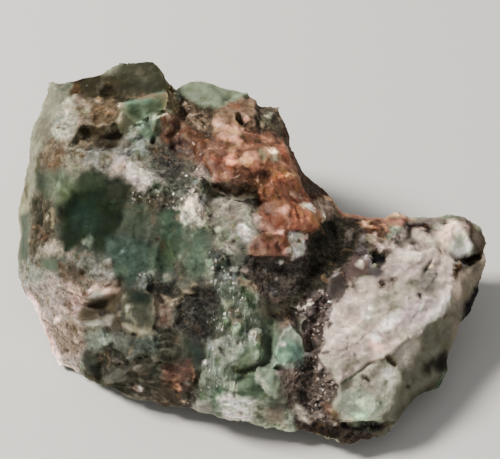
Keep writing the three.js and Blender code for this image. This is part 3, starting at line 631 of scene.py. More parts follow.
    "lensHollow": zone((86, 74, 50), "waxy", 0.8, [(-34.8, -17.5), (-33.6, -15.8), (-32.6, -14.4),
        (-30, -13.5), (-27.6, -12.6), (-26, -12), (-25.4, -12.8), (-26.2, -15), (-26.8, -16.8),
        (-29.4, -17.2), (-32.4, -17.8)]),
    "silverRidge": zone((174, 169, 158), "waxy", 0.7, [(-33.2, -18.2), (-31, -17.6), (-27.6, -17.3),
        (-27, -18.4), (-29.4, -19), (-32.6, -19.4)]),
    "smallHollow": zone((81, 71, 55), "waxy", 0.4, [(-28, -18.6), (-26.6, -17.2), (-25.4, -18),
        (-25.4, -19.4), (-27, -20.2), (-29.6, -20)]),
    "shelfShade": zone((107, 107, 89), "waxy", 0.5, [(-32.6, -19.4), (-29.4, -19), (-28, -19.8), (-31, -20.6),
        (-33, -20.6)]),
    "paleShelf": zone((114, 115, 103), "jade", 0.8, [(-33, -20.6), (-30.4, -20.2), (-27.6, -20.4),
        (-24.4, -20.9), (-24, -23), (-26, -24.2), (-29, -24.2), (-32.6, -24.4)]),
    "shelfBright": zone((131, 141, 126), "jade", 0.9, [(-32, -21), (-29, -20.8), (-28.6, -23),
        (-31.6, -23.6)]),
    "oliveShell": zone((83, 82, 64), "clear", 0.3, [(-25.6, -14), (-24.4, -12.6), (-21, -12.4), (-18.8, -13),
        (-18.6, -16), (-18.8, -19.4), (-20.4, -21.2), (-23.6, -21), (-25.6, -19),
        (-25, -16.4)], cut=(0.4, 0, 0), edge=0.5),
    "oliveShade": zone((36, 46, 35), "clear", 0.7, [(-24.4, -12), (-19.4, -12), (-19, -14.2), (-21, -15.2),
        (-24, -14.4)]),
    "shellRim": zone((158, 150, 130), "waxy", 0.4, [(-25.6, -18.6), (-23.8, -19.2), (-21, -20.4),
        (-18.8, -20), (-19.4, -21.6), (-22.4, -21.6), (-25.2, -20.2)]),
    "redBrown": zone((147, 132, 115), "rust", 0.45, [(-18.9, -13.2), (-17.6, -14), (-15.2, -15.4), (-15, -17),
        (-16, -19), (-18.4, -19.6)]),
    "tanFlap": zone((156, 144, 124), "earth", 0.35, [(-17.8, -13.2), (-16, -13.6), (-13, -13.4),
        (-12.4, -14.6), (-14.4, -15.6), (-16.2, -14.8)], swell=0.3, edge=0.4),
    "purpleTop": zone((50, 50, 42), "soot", 0.5, [(-22.4, -11.6), (-20, -10.2), (-17, -10), (-15, -9.4),
        (-14.8, -12), (-16, -13), (-19, -12.6), (-21.4, -12.4)], swell=-0.2, edge=0.6),
    "whiteCluster": zone((100, 104, 93), "druse", 0.4, [(-22.6, -11.6), (-21.6, -8.8), (-20.4, -9),
        (-20.2, -11), (-21.4, -12)]),
    "paleFringe": zone((143, 149, 132), "crust", 0.4, [(-20, -8.6), (-18.4, -8.2), (-16.4, -9), (-15.6, -9.8),
        (-18, -10.2), (-19.8, -10)]),
    "purpleEdge": zone((108, 105, 90), "earth", 0.5, [(-15, -15.6), (-13.4, -15), (-13, -19), (-14, -22.4),
        (-16, -21.4), (-15.4, -18.6)]),
    "purple": zone((56, 54, 46), "soot", 1, [(-14.4, -14.4), (-12, -13), (-10.6, -11), (-9, -10.4), (-7, -12),
        (-6, -14), (-5.8, -17), (-6.6, -20), (-7.6, -22.4), (-9.4, -23.6), (-12.8, -22),
        (-14.2, -19)], swell=-0.2, edge=0.8),
    "greenTeal": zone((68, 75, 63), "layered", 1, [(-24.6, -21.2), (-22.4, -21.6), (-19, -21.4),
        (-17.4, -21.8), (-17.6, -25), (-20, -24.8), (-22.8, -25.6), (-25.6, -24.6), (-24.4, -23)]),
    "brownMiddle": zone((77, 75, 58), "layered", 1, [(-17.6, -21.6), (-14.4, -21.8), (-13.4, -25),
        (-14.4, -27), (-17.6, -27.4), (-18.6, -25)]),
    "darkTeal": zone((41, 51, 40), "clear", 1.2, [(-13.6, -21.6), (-9.4, -23.4), (-8.8, -26), (-10.2, -28.4),
        (-11.8, -27), (-13.2, -26)]),
    "bushy": zone((61, 60, 46), "earth", 0.4, [(-30.6, -24.2), (-27.4, -23), (-25.6, -24.6), (-22.6, -25.6),
        (-20.2, -25), (-19.4, -27), (-22.6, -28), (-25.6, -27.6), (-28, -27.6),
        (-30, -27.4)], swell=-0.5, edge=0.5),
    "darkFoot": zone((43, 46, 37), "clear", 0.35, [(-33.6, -25), (-32, -25), (-30.4, -25.4), (-29.6, -27.4),
        (-29.8, -29), (-31.4, -29.4), (-33.2, -28.4)]),
    "footLow": zone((37, 36, 25), "earth", 0.35, [(-33.4, -28.8), (-29.6, -29.2), (-29.4, -31),
        (-24.8, -30.6), (-24.4, -32.8), (-30, -33), (-34, -31.4)]),
    "paleLens": zone((80, 78, 66), "waxy", 0.3, [(-29.6, -29.9), (-27.6, -28.4), (-25.6, -27.9),
        (-24.4, -28.4), (-24.8, -30), (-27.4, -31), (-29.2, -30.9)], swell=0.6, edge=0.4),
    "striated": zone((60, 56, 44), "layered", 0.7, [(-24.4, -28), (-22, -27.8), (-19.4, -26.4),
        (-17.6, -27.4), (-17.4, -30), (-18.6, -33), (-20.4, -33.8), (-22, -33.2), (-24.4, -32.4),
        (-24.8, -30)]),
    "redFoot": zone((51, 42, 31), "layered", 0.7, [(-17.4, -28.2), (-14.6, -27), (-11.8, -26.4), (-11.6, -28),
        (-12.6, -31.4), (-13.2, -34.6), (-15, -36), (-18.8, -35.4), (-18.6, -32), (-17.2, -30.2)]),
    "footEdge": zone((27, 25, 15), "earth", 0.4, [(-11.8, -28), (-9.6, -28.6), (-9.8, -31), (-12.4, -33.6),
        (-13.4, -35.6), (-12.4, -31.4)]),
    "footCrystals": zone((44, 36, 30), "druse", 0.4, [(-14, -35.6), (-12.4, -34), (-9.8, -31.4),
        (-9.4, -32.4), (-11.6, -35), (-13, -36.2)]),
    # the bright crystalline green
    "upperCrystal": zone((96, 103, 85), "crystal", 0.8, [(-6.4, -11.6), (-4, -10.4), (-1, -10.8), (1.4, -13),
        (2.4, -15.4), (1.8, -18), (1.2, -20.4), (-2, -22), (-5.8, -21.4), (-6.4, -18), (-5.8, -14.6)]),
    "brightCrystal": zone((108, 115, 97), "crystal", 0.5, [(-8.8, -24), (-7.6, -22), (-5.7, -21.4), (-2, -21),
        (1.4, -20), (2.4, -22.4), (1, -25.6), (2.4, -28), (2.2, -33), (-1, -34.2), (-8, -34.2), (-10, -35.8),
        (-9.8, -30)], swell=0.3, edge=0.6),
    "whiteTriangle": zone((160, 161, 147), "crust", 0.4, [(-7.8, -22.4), (-6, -22), (-3.4, -24), (-2, -25),
        (-3.6, -25.8), (-6.8, -25.4)]),
    "greenSlab": zone((121, 131, 110), "clear", 0.6, [(-2, -22.6), (-0.2, -21.8), (1.2, -24.6), (0.4, -26.6),
        (-2, -27.2), (-3.2, -26)]),
    "greenPocket": zone((97, 112, 88), "clear", 0.5, [(-3, -29.4), (-1, -28.9), (1.4, -29.2), (2.6, -31.6),
        (2, -33.2), (-0.6, -33.8), (-2.6, -32.6)]),
    "darkSlot": zone((112, 122, 89), "earth", 0.4, [(-3.8, -27.5), (-1, -27.3), (1.4, -27.4), (1.6, -28.7),
        (-1.4, -28.9), (-3.4, -28.6)], swell=-0.4, edge=0.5),
    "bottomGreen": zone((137, 140, 122), "grain", 0.5, [(0.4, -34), (3.6, -34.4), (8.6, -37), (9.6, -40.6),
        (9, -44), (0, -42), (-8, -38.8), (-5.4, -37.2), (-0.6, -38)]),
    "bottomLeft": zone((94, 107, 89), "crystal", 0.5, [(-8.4, -32), (-5, -31.6), (-4.4, -33.6), (-5.4, -36.6),
        (-8.6, -36), (-8, -34)]),
    "bottomCrust": zone((228, 217, 204), "crust", 0.5, [(-6.4, -33.4), (-4, -33), (-1.4, -33.8), (1, -34),
        (0.8, -36), (-0.4, -38.4), (-3, -38.6), (-5.6, -37.2), (-5, -35)]),
    "tongue": zone((129, 125, 114), "waxy", 0.35, [(-12, -35.8), (-9.6, -34), (-7.6, -34.2), (-7.2, -36.4),
        (-9.8, -37)]),
    "pinkOval": zone((116, 105, 89), "waxy", 0.45, [(2.8, -36.4), (4.2, -35), (6.6, -35.4), (7.2, -37.4),
        (6, -38.8), (4, -38.6)], swell=0.4, edge=0.5),
    "glassyRight": zone((78, 78, 68), "clear", 0.4, [(5.2, -28), (6.2, -30.6), (6.8, -33.4), (5.4, -34),
        (5, -31.4)]),
    "glassyBlade": zone((121, 130, 111), "clear", 0.25, [(1.6, -27.8), (3, -27.4), (4.6, -26.8), (5.6, -28.4),
        (6, -31), (5.2, -33.4), (4, -32.8), (2.6, -31.2), (1.4, -29.6)], cut=(0.7, 0, 0), edge=0.4),
    "tealBlade": zone((155, 159, 144), "clear", 0.25, [(5.6, -22), (6.8, -19.9), (8.2, -19.2), (9.4, -20.6),
        (10.6, -22), (11.2, -24), (11, -25.8), (9, -26.9), (5.6, -27), (4.6, -27.4), (4.2, -26.2),
        (4.8, -24)], cut=(1, -0.3, 0)),
    "tealHeart": zone((72, 95, 80), "clear", 0.7, [(8.6, -22.4), (10.8, -22.6), (11.2, -25.6), (8.8, -26.8),
        (6.4, -26.4), (6.6, -24.6)]),
}

# Small spots over the zones: across, up, half width, half height, turn, colour as seen, finish.
spots = [
    # the upper left
    (-34.9, 28.2, 0.9, 1.3, 0, (80, 54, 28), "earth"),
    # painted shade in the crystal hollow of the back blade
    (-28.6, 28, 1.9, 1.7, 0, (56, 47, 29), "soot"),
    (-30.1, 28.4, 0.25, 1.4, -20, (113, 106, 91), "waxy"),
    (-30.4, 26, 0.3, 0.5, 0, (222, 208, 184), "crust"),
    (-26.9, 28.3, 0.9, 0.22, -34, (131, 122, 105), "waxy"),
    (-31.2, 30.9, 0.9, 0.5, 0, (176, 164, 142), "crust"),
    (-22.6, 33.8, 4, 0.5, 2, (146, 126, 98), "waxy"),
    (-22, 31.2, 0.9, 0.6, 0, (122, 116, 96), "waxy"),
    (-20.9, 29.8, 0.5, 0.4, 0, (123, 121, 95), "waxy"),
    (-25.3, 27, 0.6, 0.8, 0, (70, 60, 32), "waxy"),
    (-22.8, 22.9, 1.5, 1, 0, (68, 77, 53), "clear"),
    # painted highlight: this spot and the next draw a thin lit edge beside the tan ledge
    (-26.2, 22.2, 0.3, 1.8, -24, (194, 185, 159), "waxy"),
    (-26.9, 20.4, 0.25, 0.9, -18, (164, 159, 140), "waxy"),
    (-18.4, 22.9, 2.2, 0.4, 24, (193, 196, 178), "waxy"),
    (-16.6, 23.7, 0.4, 0.7, 20, (191, 178, 155), "waxy"),
    (-21.6, 21.3, 1.8, 0.5, 30, (168, 181, 163), "waxy"),
    (-21.2, 23.2, 0.35, 1.4, 14, (128, 146, 121), "waxy"),
    (-23.8, 20.1, 0.6, 0.7, 0, (154, 155, 142), "crust"),
    (-20.6, 19.4, 1.1, 1, 0, (144, 160, 137), "clear"),
    (-18.8, 20.4, 0.7, 1.4, -10, (98, 101, 76), "clear"),
    (-19.3, 18, 0.6, 0.8, 20, (14, 14, 14), "earth"),
    (-20, 16.1, 0.5, 0.6, 0, (14, 14, 14), "earth"),
    # painted shade in the hollow under the tan ledge
    (-31.2, 19.3, 3.4, 0.7, -2, (70, 58, 36), "waxy"),
    (-28.4, 18.6, 1.6, 0.8, 20, (91, 84, 72), "waxy"),
    (-31, 22.4, 1, 0.8, 10, (51, 30, 14), "earth"),
    (-30, 24.4, 0.9, 0.7, 0, (96, 76, 46), "earth"),
    (-28, 23.4, 1.2, 0.9, 20, (182, 162, 136), "earth"),
    (-33, 24.4, 0.8, 1.6, 0, (177, 167, 146), "crust"),
    (-33.2, 21.4, 1, 0.6, 0, (56, 46, 26), "crust"),
    (-36.2, 25.8, 0.4, 1.2, -34, (188, 186, 167), "crust"),
    (-38.4, 21.4, 0.4, 2, -22, (176, 179, 169), "crust"),
    (-36.8, 22.8, 0.4, 1.8, -26, (209, 206, 195), "crust"),
    (-37.6, 19, 1, 0.8, 0, (188, 187, 171), "crust"),
    (-40, 16.8, 0.5, 0.9, -20, (140, 122, 91), "earth"),
    (-37.8, 15.4, 0.7, 0.6, 0, (99, 76, 47), "earth"),
    (-40.6, 14, 0.6, 0.7, 0, (98, 78, 61), "crust"),
    (-38.6, 13.4, 0.9, 0.8, 0, (64, 53, 31), "earth"),
    (-42.2, 12.6, 1.1, 1, 0, (56, 66, 32), "clear"),
    (-32.4, 16.2, 0.8, 0.5, 0, (44, 37, 20), "earth"),
    (-33.2, 14.9, 0.8, 0.4, 0, (56, 49, 31), "earth"),
    (-24, 15, 0.9, 0.7, 0, (71, 75, 68), "grain"),
    (-28.6, 12.8, 1.2, 0.6, 20, (102, 100, 89), "crust"),
    # the speckled grey and the white knob
    (-10, 11.6, 1.3, 1.6, 30, (169, 152, 141), "crust"),
    (-10.6, 9.4, 0.8, 0.5, 0, (120, 129, 120), "crust"),
    (-9.4, 8, 0.9, 1.6, 0, (73, 83, 68), "soot"),
    (-8.6, 3.4, 0.7, 1.8, 0, (107, 111, 89), "soot"),
    (-12.6, 9.8, 0.7, 0.6, 0, (76, 74, 60), "soot"),
    (-11.4, 3.9, 2.3, 2.6, 0, (207, 201, 190), "crust"),
    (-12.4, 5.2, 1.2, 0.9, 20, (220, 214, 204), "crust"),
    (-10.6, 1.4, 1, 0.5, 10, (202, 196, 185), "crust"),
    (-12.8, 1.4, 0.8, 0.5, 0, (203, 204, 193), "crust"),
    (-10.2, 3, 0.6, 0.7, 0, (178, 168, 156), "crust"),
    (-12.7, 2.8, 0.6, 0.6, 0, (178, 177, 171), "crust"),
    (-13.8, 7.4, 0.8, 0.6, 0, (117, 121, 106), "crust"),
    (-18.2, 12.6, 1.3, 0.5, -30, (126, 122, 110), "crust"),
    (-17.2, 9.4, 1.5, 0.6, -20, (133, 129, 117), "crust"),
    (-18.9, 15.8, 1, 0.5, -20, (37, 35, 24), "crust"),
    (-14.6, 10.5, 1.3, 0.5, -20, (90, 86, 77), "crust"),
    (-12, 12.2, 0.9, 0.6, 30, (95, 89, 73), "crust"),
    (-16.2, 14.2, 0.7, 0.4, 0, (59, 48, 42), "druse"),
    (-19.6, 5, 1.4, 0.8, 0, (109, 103, 82), "earth"),
    (-17.6, 5.8, 1.4, 0.7, 0, (80, 74, 62), "soot"),
    (-6.1, 0.3, 0.6, 0.45, 10, (194, 197, 181), "crust"),
    (-2.2, 3.4, 0.8, 0.4, 0, (132, 127, 105), "grain"),
    (-1, -0.6, 0.7, 1.6, 10, (210, 207, 204), "crust"),
    (1.2, 2, 0.7, 0.8, 0, (196, 176, 168), "crust"),
    (-6.2, -2.8, 0.9, 0.5, 0, (132, 139, 112), "grain"),
    (-4.4, -4.4, 1, 0.4, -10, (175, 173, 160), "grain"),
    (-2, -3.4, 0.8, 1.2, 30, (92, 95, 80), "waxy"),
    (-5.8, -1.2, 1.6, 0.5, 10, (122, 124, 107), "grain"),
    (-6, -4.6, 0.9, 0.6, 0, (80, 82, 75), "soot"),
    (-6.7, -5.8, 0.6, 0.5, 0, (114, 130, 125), "druse"),
    (-5.4, -6.9, 0.8, 0.8, 0, (49, 62, 46), "soot"),
    (-3.1, -7.9, 0.9, 0.25, 0, (178, 178, 168), "waxy"),
    (-1.2, -8, 0.5, 0.22, 0, (196, 186, 176), "waxy"),
    (-8.2, -6.8, 0.35, 0.6, 0, (158, 171, 146), "crust"),
    (-8.1, -8.8, 0.6, 0.8, 0, (171, 175, 153), "crust"),
    (-5, -9.4, 0.8, 0.4, 0, (158, 164, 151), "crust"),
    (-3.2, -9.8, 0.6, 0.4, 0, (136, 145, 142), "crust"),
    # the pool and the windows
    (-39.3, 2.6, 0.3, 2.8, 2, (155, 145, 113), "waxy"),
    (-42.3, 1.4, 0.9, 2.2, 0, (68, 65, 46), "earth"),
    (-42.8, 5.6, 1.2, 0.6, 0, (48, 56, 32), "earth"),
    (-40.6, 2.4, 0.35, 0.5, 0, (178, 170, 149), "crust"),
    (-41.2, -1.4, 1, 0.9, 0, (88, 67, 48), "earth"),
    (-42, -0.8, 0.3, 1.6, -10, (162, 145, 127), "earth"),
    (-41, -3.1, 0.6, 0.4, 0, (54, 39, 23), "earth"),
    (-45, 8, 0.6, 1.3, 0, (87, 75, 47), "waxy"),
    (-44.4, -6.3, 0.45, 0.35, 0, (172, 180, 170), "waxy"),
    (-43.2, -6.5, 0.9, 0.3, -30, (34, 27, 14), "earth"),
    (-38.2, 8.6, 0.25, 0.9, 16, (169, 181, 155), "waxy"),
    (-36.9, 7.8, 0.25, 0.9, 34, (122, 138, 103), "waxy"),
    (-37.6, 3.8, 0.7, 1.2, 0, (21, 21, 14), "clear"),
    (-27, 5.6, 1.8, 0.16, 6, (50, 64, 48), "clear"),
    (-27.2, 8.9, 1.4, 0.14, 10, (74, 84, 64), "clear"),
    (-26.2, 2.2, 0.4, 0.7, 0, (14, 14, 14), "clear"),
    (-32.4, -2.4, 1.3, 1.1, 0, (39, 50, 32), "clear"),
    (-32.1, -2.3, 0.4, 1, 0, (121, 135, 118), "waxy"),
    (-33.2, -2.7, 0.25, 0.8, 16, (162, 169, 154), "waxy"),
    (-25.4, -4.4, 0.5, 0.4, 20, (126, 143, 134), "waxy"),
    (-27.8, -3, 0.7, 0.9, 0, (78, 94, 81), "clear"),
    (-23, -3.6, 1.4, 0.9, 0, (72, 90, 76), "clear"),
    (-24.6, -8.4, 1.2, 0.8, 0, (117, 130, 109), "clear"),
    (-20.1, 1.2, 0.14, 1.4, 2, (95, 99, 83), "waxy"),
    (-19.9, -4, 0.14, 2.4, 2, (24, 30, 23), "clear"),
    (-18.4, -1.8, 0.8, 0.35, 0, (14, 14, 14), "earth"),
    (-13.4, -1.2, 0.16, 1.4, 4, (128, 138, 120), "waxy"),
    (-14.2, -4.6, 0.5, 0.8, 0, (142, 150, 134), "clear"),
    (-10.4, -3.6, 1, 2.6, 0, (101, 119, 100), "clear"),
    # the lower left
    (-36.6, -7.6, 0.35, 0.6, 0, (109, 99, 76), "crust"),
    (-36, -5.2, 0.8, 0.6, 0, (158, 148, 136), "crust"),
    (-34, -8.7, 0.9, 0.6, 0, (53, 43, 17), "earth"),
    (-29, -10, 0.9, 0.4, 0, (142, 132, 118), "crust"),
    (-31.6, -11.4, 1.4, 0.3, -4, (74, 58, 44), "earth"),
    (-33, -12.3, 0.8, 1, 0, (79, 54, 37), "crust"),
    (-36.8, -15.1, 1.6, 0.35, -6, (74, 58, 47), "earth"),
    (-37.6, -16, 1.6, 0.4, -20, (210, 195, 186), "crust"),
    (-38.6, -17.9, 0.8, 0.5, 30, (215, 204, 196), "crust"),
    (-35.4, -15.6, 1.4, 0.3, -14, (188, 174, 168), "crust"),
    (-37, -24.4, 0.9, 0.35, 20, (77, 59, 46), "earth"),
    (-36, -20.4, 0.5, 1.6, 10, (117, 101, 87), "layered"),
    (-28.4, -16.6, 2, 0.35, 4, (30, 20, 14), "waxy"),
    (-24.3, -16.2, 0.5, 1.5, 10, (179, 177, 165), "crust"),
    (-23.2, -18.4, 0.25, 1, 34, (151, 145, 123), "waxy"),
    (-21, -16.4, 0.8, 0.5, 0, (86, 87, 72), "clear"),
    (-17.4, -16.6, 1, 0.7, 0, (152, 136, 121), "rust"),
    (-17.2, -18, 0.9, 0.7, 0, (84, 51, 36), "rust"),
    (-14.8, -16.9, 0.35, 0.9, -8, (140, 137, 123), "waxy"),
    (-16, -19.4, 1.4, 0.3, 8, (132, 122, 109), "crust"),
    (-14.9, -15.5, 0.6, 0.25, 20, (136, 127, 109), "earth"),
    (-12.6, -11.7, 1.7, 1.2, 0, (94, 92, 79), "clear"),
    # painted highlights on the glass bead
    (-12.5, -12.7, 1.3, 0.4, 6, (174, 164, 142), "waxy"),
    (-11.1, -11.4, 0.3, 0.7, -20, (190, 182, 160), "waxy"),
    (-21.6, -9.6, 0.7, 0.6, 0, (87, 96, 82), "druse"),
    (-8, -17.6, 0.9, 0.8, 0, (66, 65, 53), "druse"),
    (-11.6, -16.4, 0.25, 1.4, -30, (90, 87, 81), "waxy"),
    (-28.6, -23.5, 0.9, 0.4, -20, (117, 115, 102), "earth"),
    (-27.2, -26.2, 1, 0.35, -14, (103, 98, 91), "crust"),
    (-25.6, -26.6, 0.6, 0.3, -30, (128, 123, 112), "crust"),
    (-22.4, -27.5, 1.2, 0.3, 14, (129, 123, 113), "crust"),
    (-24, -25.6, 1.2, 0.5, 16, (127, 129, 116), "waxy"),
    (-22.4, -31.9, 0.9, 0.7, 0, (149, 130, 117), "crust"),
    (-22, -31.8, 0.4, 0.35, 0, (236, 222, 200), "crust"),
    (-19, -28.4, 0.4, 1.6, -34, (50, 57, 41), "waxy"),
    (-14, -29, 2.5, 2.2, 30, (92, 62, 50), "layered"),
    (-12.6, -30.7, 0.8, 0.3, 10, (109, 100, 91), "waxy"),
    (-14.4, -31.6, 0.3, 0.3, 0, (196, 164, 132), "crust"),
    (-13.1, -34.4, 0.4, 0.3, 0, (206, 176, 150), "crust"),
    (-17.8, -33, 1.2, 1.6, 0, (87, 78, 60), "clear"),
    # the bright crystalline green
    # painted glint on the bright crystalline green
    (-8.8, -26.5, 0.5, 0.3, 0, (246, 248, 238), "waxy"),
    (-8, -24.6, 0.22, 2.4, 2, (131, 137, 131), "crystal"),
    (-7.1, -27.6, 0.2, 2, 4, (110, 128, 111), "crystal"),
    (-5.4, -29, 0.22, 2.6, 24, (146, 159, 137), "crystal"),
    (-8.2, -30.6, 0.2, 2, -8, (99, 108, 97), "crystal"),
    (-5.8, -24.4, 0.5, 0.9, 10, (67, 64, 55), "soot"),
    (-6.4, -32, 1, 0.6, 0, (71, 93, 73), "clear"),
    (-3.4, -31.8, 0.4, 1.4, 30, (168, 171, 151), "crystal"),
    (-2.6, -29.2, 0.9, 0.35, 14, (158, 170, 146), "waxy"),
    (0, -21.4, 1.9, 0.6, 52, (191, 192, 184), "crust"),
    (2, -24.2, 0.35, 1.9, -36, (146, 152, 133), "waxy"),
    (2.2, -21.8, 0.8, 1, -30, (100, 90, 69), "clear"),
    (0.2, -26.8, 1, 0.4, 10, (135, 139, 119), "waxy"),
    (-4.4, -18.9, 1, 0.9, 0, (45, 65, 34), "clear"),
    (-4.8, -18.2, 0.5, 0.6, 0, (179, 187, 164), "crystal"),
    (-4.6, -14.8, 1, 0.6, 20, (181, 176, 164), "crystal"),
    (-3.8, -15.9, 0.6, 0.5, 0, (14, 14, 14), "soot"),
    (-2.8, -17.2, 1.4, 0.6, 0, (21, 27, 14), "clear"),
    (1.6, -13.4, 0.3, 0.8, -16, (124, 121, 108), "crystal"),
    (-1.8, -13.7, 0.5, 0.35, 0, (97, 97, 74), "crystal"),
    (-0.6, -16.6, 1.8, 0.35, 8, (127, 128, 109), "crystal"),
    (-2.8, -19.8, 0.9, 0.5, 14, (162, 175, 147), "crystal"),
    (-2.2, -34.8, 1.8, 1, 0, (228, 228, 228), "crust"),
    (-2, -36.8, 0.35, 0.3, 0, (110, 92, 80), "earth"),
    (0.6, -34.8, 0.3, 1.2, -30, (192, 195, 175), "crystal"),
    (4.8, -38.8, 2, 0.3, -8, (127, 121, 101), "crust"),
    (3.2, -29, 0.3, 1.6, -34, (127, 137, 114), "waxy"),
    (2.2, -30.4, 0.4, 1.2, 34, (191, 191, 178), "waxy"),
    (4.4, -34.6, 0.9, 0.7, 0, (84, 93, 76), "clear"),
    (6.6, -24.4, 1.2, 2.4, -24, (155, 178, 158), "clear"),
    (6.8, -23, 0.3, 0.3, 0, (225, 230, 217), "waxy"),
    (9.4, -25.6, 1.2, 0.8, 0, (93, 113, 101), "clear"),
    # the rust; its palest pink spots are painted highlights on the knob and on the lumps
    (-2.1, 22.1, 0.7, 1.1, 10, (114, 94, 80), "earth"),
    (-1, 20.9, 0.9, 1.2, 0, (31, 14, 14), "rust"),
    (-3.4, 24, 1.4, 1, 0, (151, 93, 57), "rust"),
    (-0.4, 24, 0.9, 1.2, 0, (141, 114, 82), "rust"),
    (-5.8, 20.9, 1.5, 0.4, -30, (202, 180, 161), "rust"),
    (-6.5, 22.3, 0.7, 0.35, 30, (202, 151, 111), "rust"),
    (-6.3, 19.2, 1, 0.9, 0, (100, 66, 50), "rust"),
    (-3, 20, 1.6, 0.7, -16, (204, 172, 148), "rust"),
    (-4.6, 17.9, 2.4, 0.3, -2, (209, 172, 150), "rust"),
    (0.5, 26.3, 0.6, 0.35, -20, (230, 202, 182), "waxy"),
    (-7.2, 17.6, 0.8, 0.6, -30, (106, 81, 76), "earth"),
    (1.8, 25.6, 0.9, 0.7, -30, (54, 46, 38), "soot"),
    (4, 23, 0.8, 0.9, 0, (152, 150, 129), "grain"),
    (3.4, 21.4, 0.4, 1, 10, (96, 86, 75), "grain"),
    (2.4, 20.6, 0.9, 0.8, 0, (111, 98, 77), "soot"),
    (0.4, 18.6, 0.6, 0.4, -20, (205, 174, 158), "rust"),
    (-13.4, 21, 0.4, 0.9, -14, (147, 124, 102), "rust"),
    (-16, 22.4, 1, 0.7, 20, (152, 131, 111), "rust"),
    (-16.6, 19.6, 1.4, 1.2, 0, (103, 81, 68), "rust"),
    (-12.8, 18.6, 0.4, 1.4, -16, (132, 95, 70), "rust"),
    (-14.4, 17, 1, 1, 0, (37, 14, 14), "rust"),
    (-10.8, 15.6, 0.4, 0.9, 0, (88, 49, 35), "rust"),
    (-9.8, 16.8, 1, 1.6, -20, (126, 75, 39), "rust"),
    (-9, 14, 0.8, 1.4, 0, (66, 23, 14), "rust"),
    (-7.2, 15.4, 1.3, 1.8, -10, (151, 112, 86), "rust"),
    (-7.6, 14.4, 0.7, 0.5, 10, (200, 158, 136), "rust"),
    (-5.9, 13.4, 0.9, 2, -10, (87, 26, 14), "rust"),
    (-3.6, 13.4, 1.6, 1.1, -24, (218, 183, 159), "rust"),
    (-4.6, 12, 1.6, 1, 0, (120, 56, 25), "rust"),
    (0, 14, 1.9, 1.3, 10, (195, 159, 135), "rust"),
    (0.8, 12.6, 1, 0.6, 20, (208, 170, 145), "rust"),
    (-1.6, 16.6, 2.2, 0.6, 4, (175, 134, 108), "rust"),
    (-3.4, 15.4, 1.2, 0.5, -20, (178, 139, 111), "rust"),
    (-5.6, 10.4, 1.6, 0.4, 6, (175, 132, 122), "rust"),
    (-2.8, 11.2, 1.4, 0.3, 12, (165, 126, 104), "rust"),
    (4.3, 14.9, 1.5, 1.4, -30, (220, 195, 175), "grain"),
    (2.3, 15, 0.8, 1.2, 0, (131, 120, 92), "waxy"),
    (1.4, 17.3, 1, 0.9, 0, (81, 56, 39), "earth"),
    (3.4, 17.8, 1.4, 0.8, -20, (168, 125, 95), "rust"),
    (4.8, 18.2, 1.4, 0.35, -26, (157, 129, 114), "rust"),
    (6.2, 15.4, 0.8, 2, 16, (129, 72, 49), "rust"),
    (5, 12.4, 2.2, 1, 0, (169, 124, 94), "rust"),
    (7.4, 10.6, 1.2, 0.8, 20, (162, 130, 92), "rust"),
    (5.4, 10.4, 1.2, 0.7, 0, (158, 94, 60), "rust"),
    (7.6, 8.4, 0.8, 0.8, 0, (115, 72, 37), "rust"),
    (3.2, 6.6, 1, 0.5, 20, (130, 98, 73), "rust"),
    (4.2, 8, 0.8, 1, 0, (148, 100, 78), "rust"),
    (6.7, 4, 0.9, 1.1, 20, (205, 175, 157), "rust"),
    (8.8, 5.4, 0.8, 1.2, 0, (117, 47, 21), "rust"),
    (8.4, 7, 0.8, 0.6, 0, (211, 174, 156), "rust"),
    (11.5, 4.3, 0.7, 1.7, 42, (228, 194, 179), "rust"),
    (12.4, 2, 2, 1.3, -34, (125, 86, 49), "rust"),
    (10.6, 0.7, 0.6, 0.9, -20, (136, 98, 74), "rust"),
    (9.2, 2.6, 0.7, 1.7, 8, (161, 104, 72), "rust"),
    (7.4, 1, 0.7, 1.8, 0, (162, 124, 104), "rust"),
    (5, 2.4, 1.4, 1.4, 0, (139, 80, 52), "rust"),
    (3.2, 2.6, 0.8, 0.7, 0, (126, 81, 64), "earth"),
    (4, 1.6, 0.9, 0.3, 34, (130, 80, 47), "rust"),
    (2.8, 0.6, 1.2, 0.35, -14, (194, 159, 139), "rust"),
    (5.6, -0.5, 1.4, 0.4, -4, (218, 192, 181), "rust"),
    (3.4, -2.2, 1.6, 1, 0, (99, 52, 34), "rust"),
    (1, -3.4, 0.8, 1, 0, (82, 43, 31), "rust"),
    (2.8, -4.4, 0.9, 0.9, 0, (128, 101, 83), "rust"),
    (0.5, -2.7, 0.6, 0.4, 20, (105, 79, 63), "rust"),
    (4.6, -3.6, 1, 1.2, 0, (130, 86, 67), "rust"),
    (6.6, -3, 1.2, 1.6, 0, (80, 40, 23), "rust"),
    (7.4, -4.8, 0.9, 0.4, 0, (110, 92, 83), "rust"),
    (10.4, -1.8, 0.7, 0.5, 20, (170, 141, 133), "crust"),
    (8.8, -0.2, 1, 0.3, -30, (31, 14, 14), "soot"),
    (6.1, -6.7, 0.45, 0.3, 10, (196, 192, 180), "waxy"),
    (3.1, -8.1, 0.3, 0.25, 0, (130, 126, 116), "waxy"),
    (5.4, -9.6, 0.2, 0.4, 20, (150, 140, 130), "waxy"),
    (5, -12.6, 1.2, 0.7, -20, (98, 90, 85), "soot"),
    (2.6, -12.8, 0.5, 0.5, 0, (71, 61, 50), "druse"),
    (6.2, -17, 1.6, 0.7, 0, (30, 25, 16), "earth"),
    # the saddle
    (15.6, 6.2, 0.8, 0.3, -20, (196, 176, 152), "waxy"),
    (14.4, 2.4, 0.9, 0.4, 0, (199, 175, 161), "crust"),
    (24.2, 4.2, 2.4, 0.35, -12, (180, 130, 96), "rust"),
    (27, 2.4, 1.4, 0.5, -30, (189, 156, 129), "rust"),
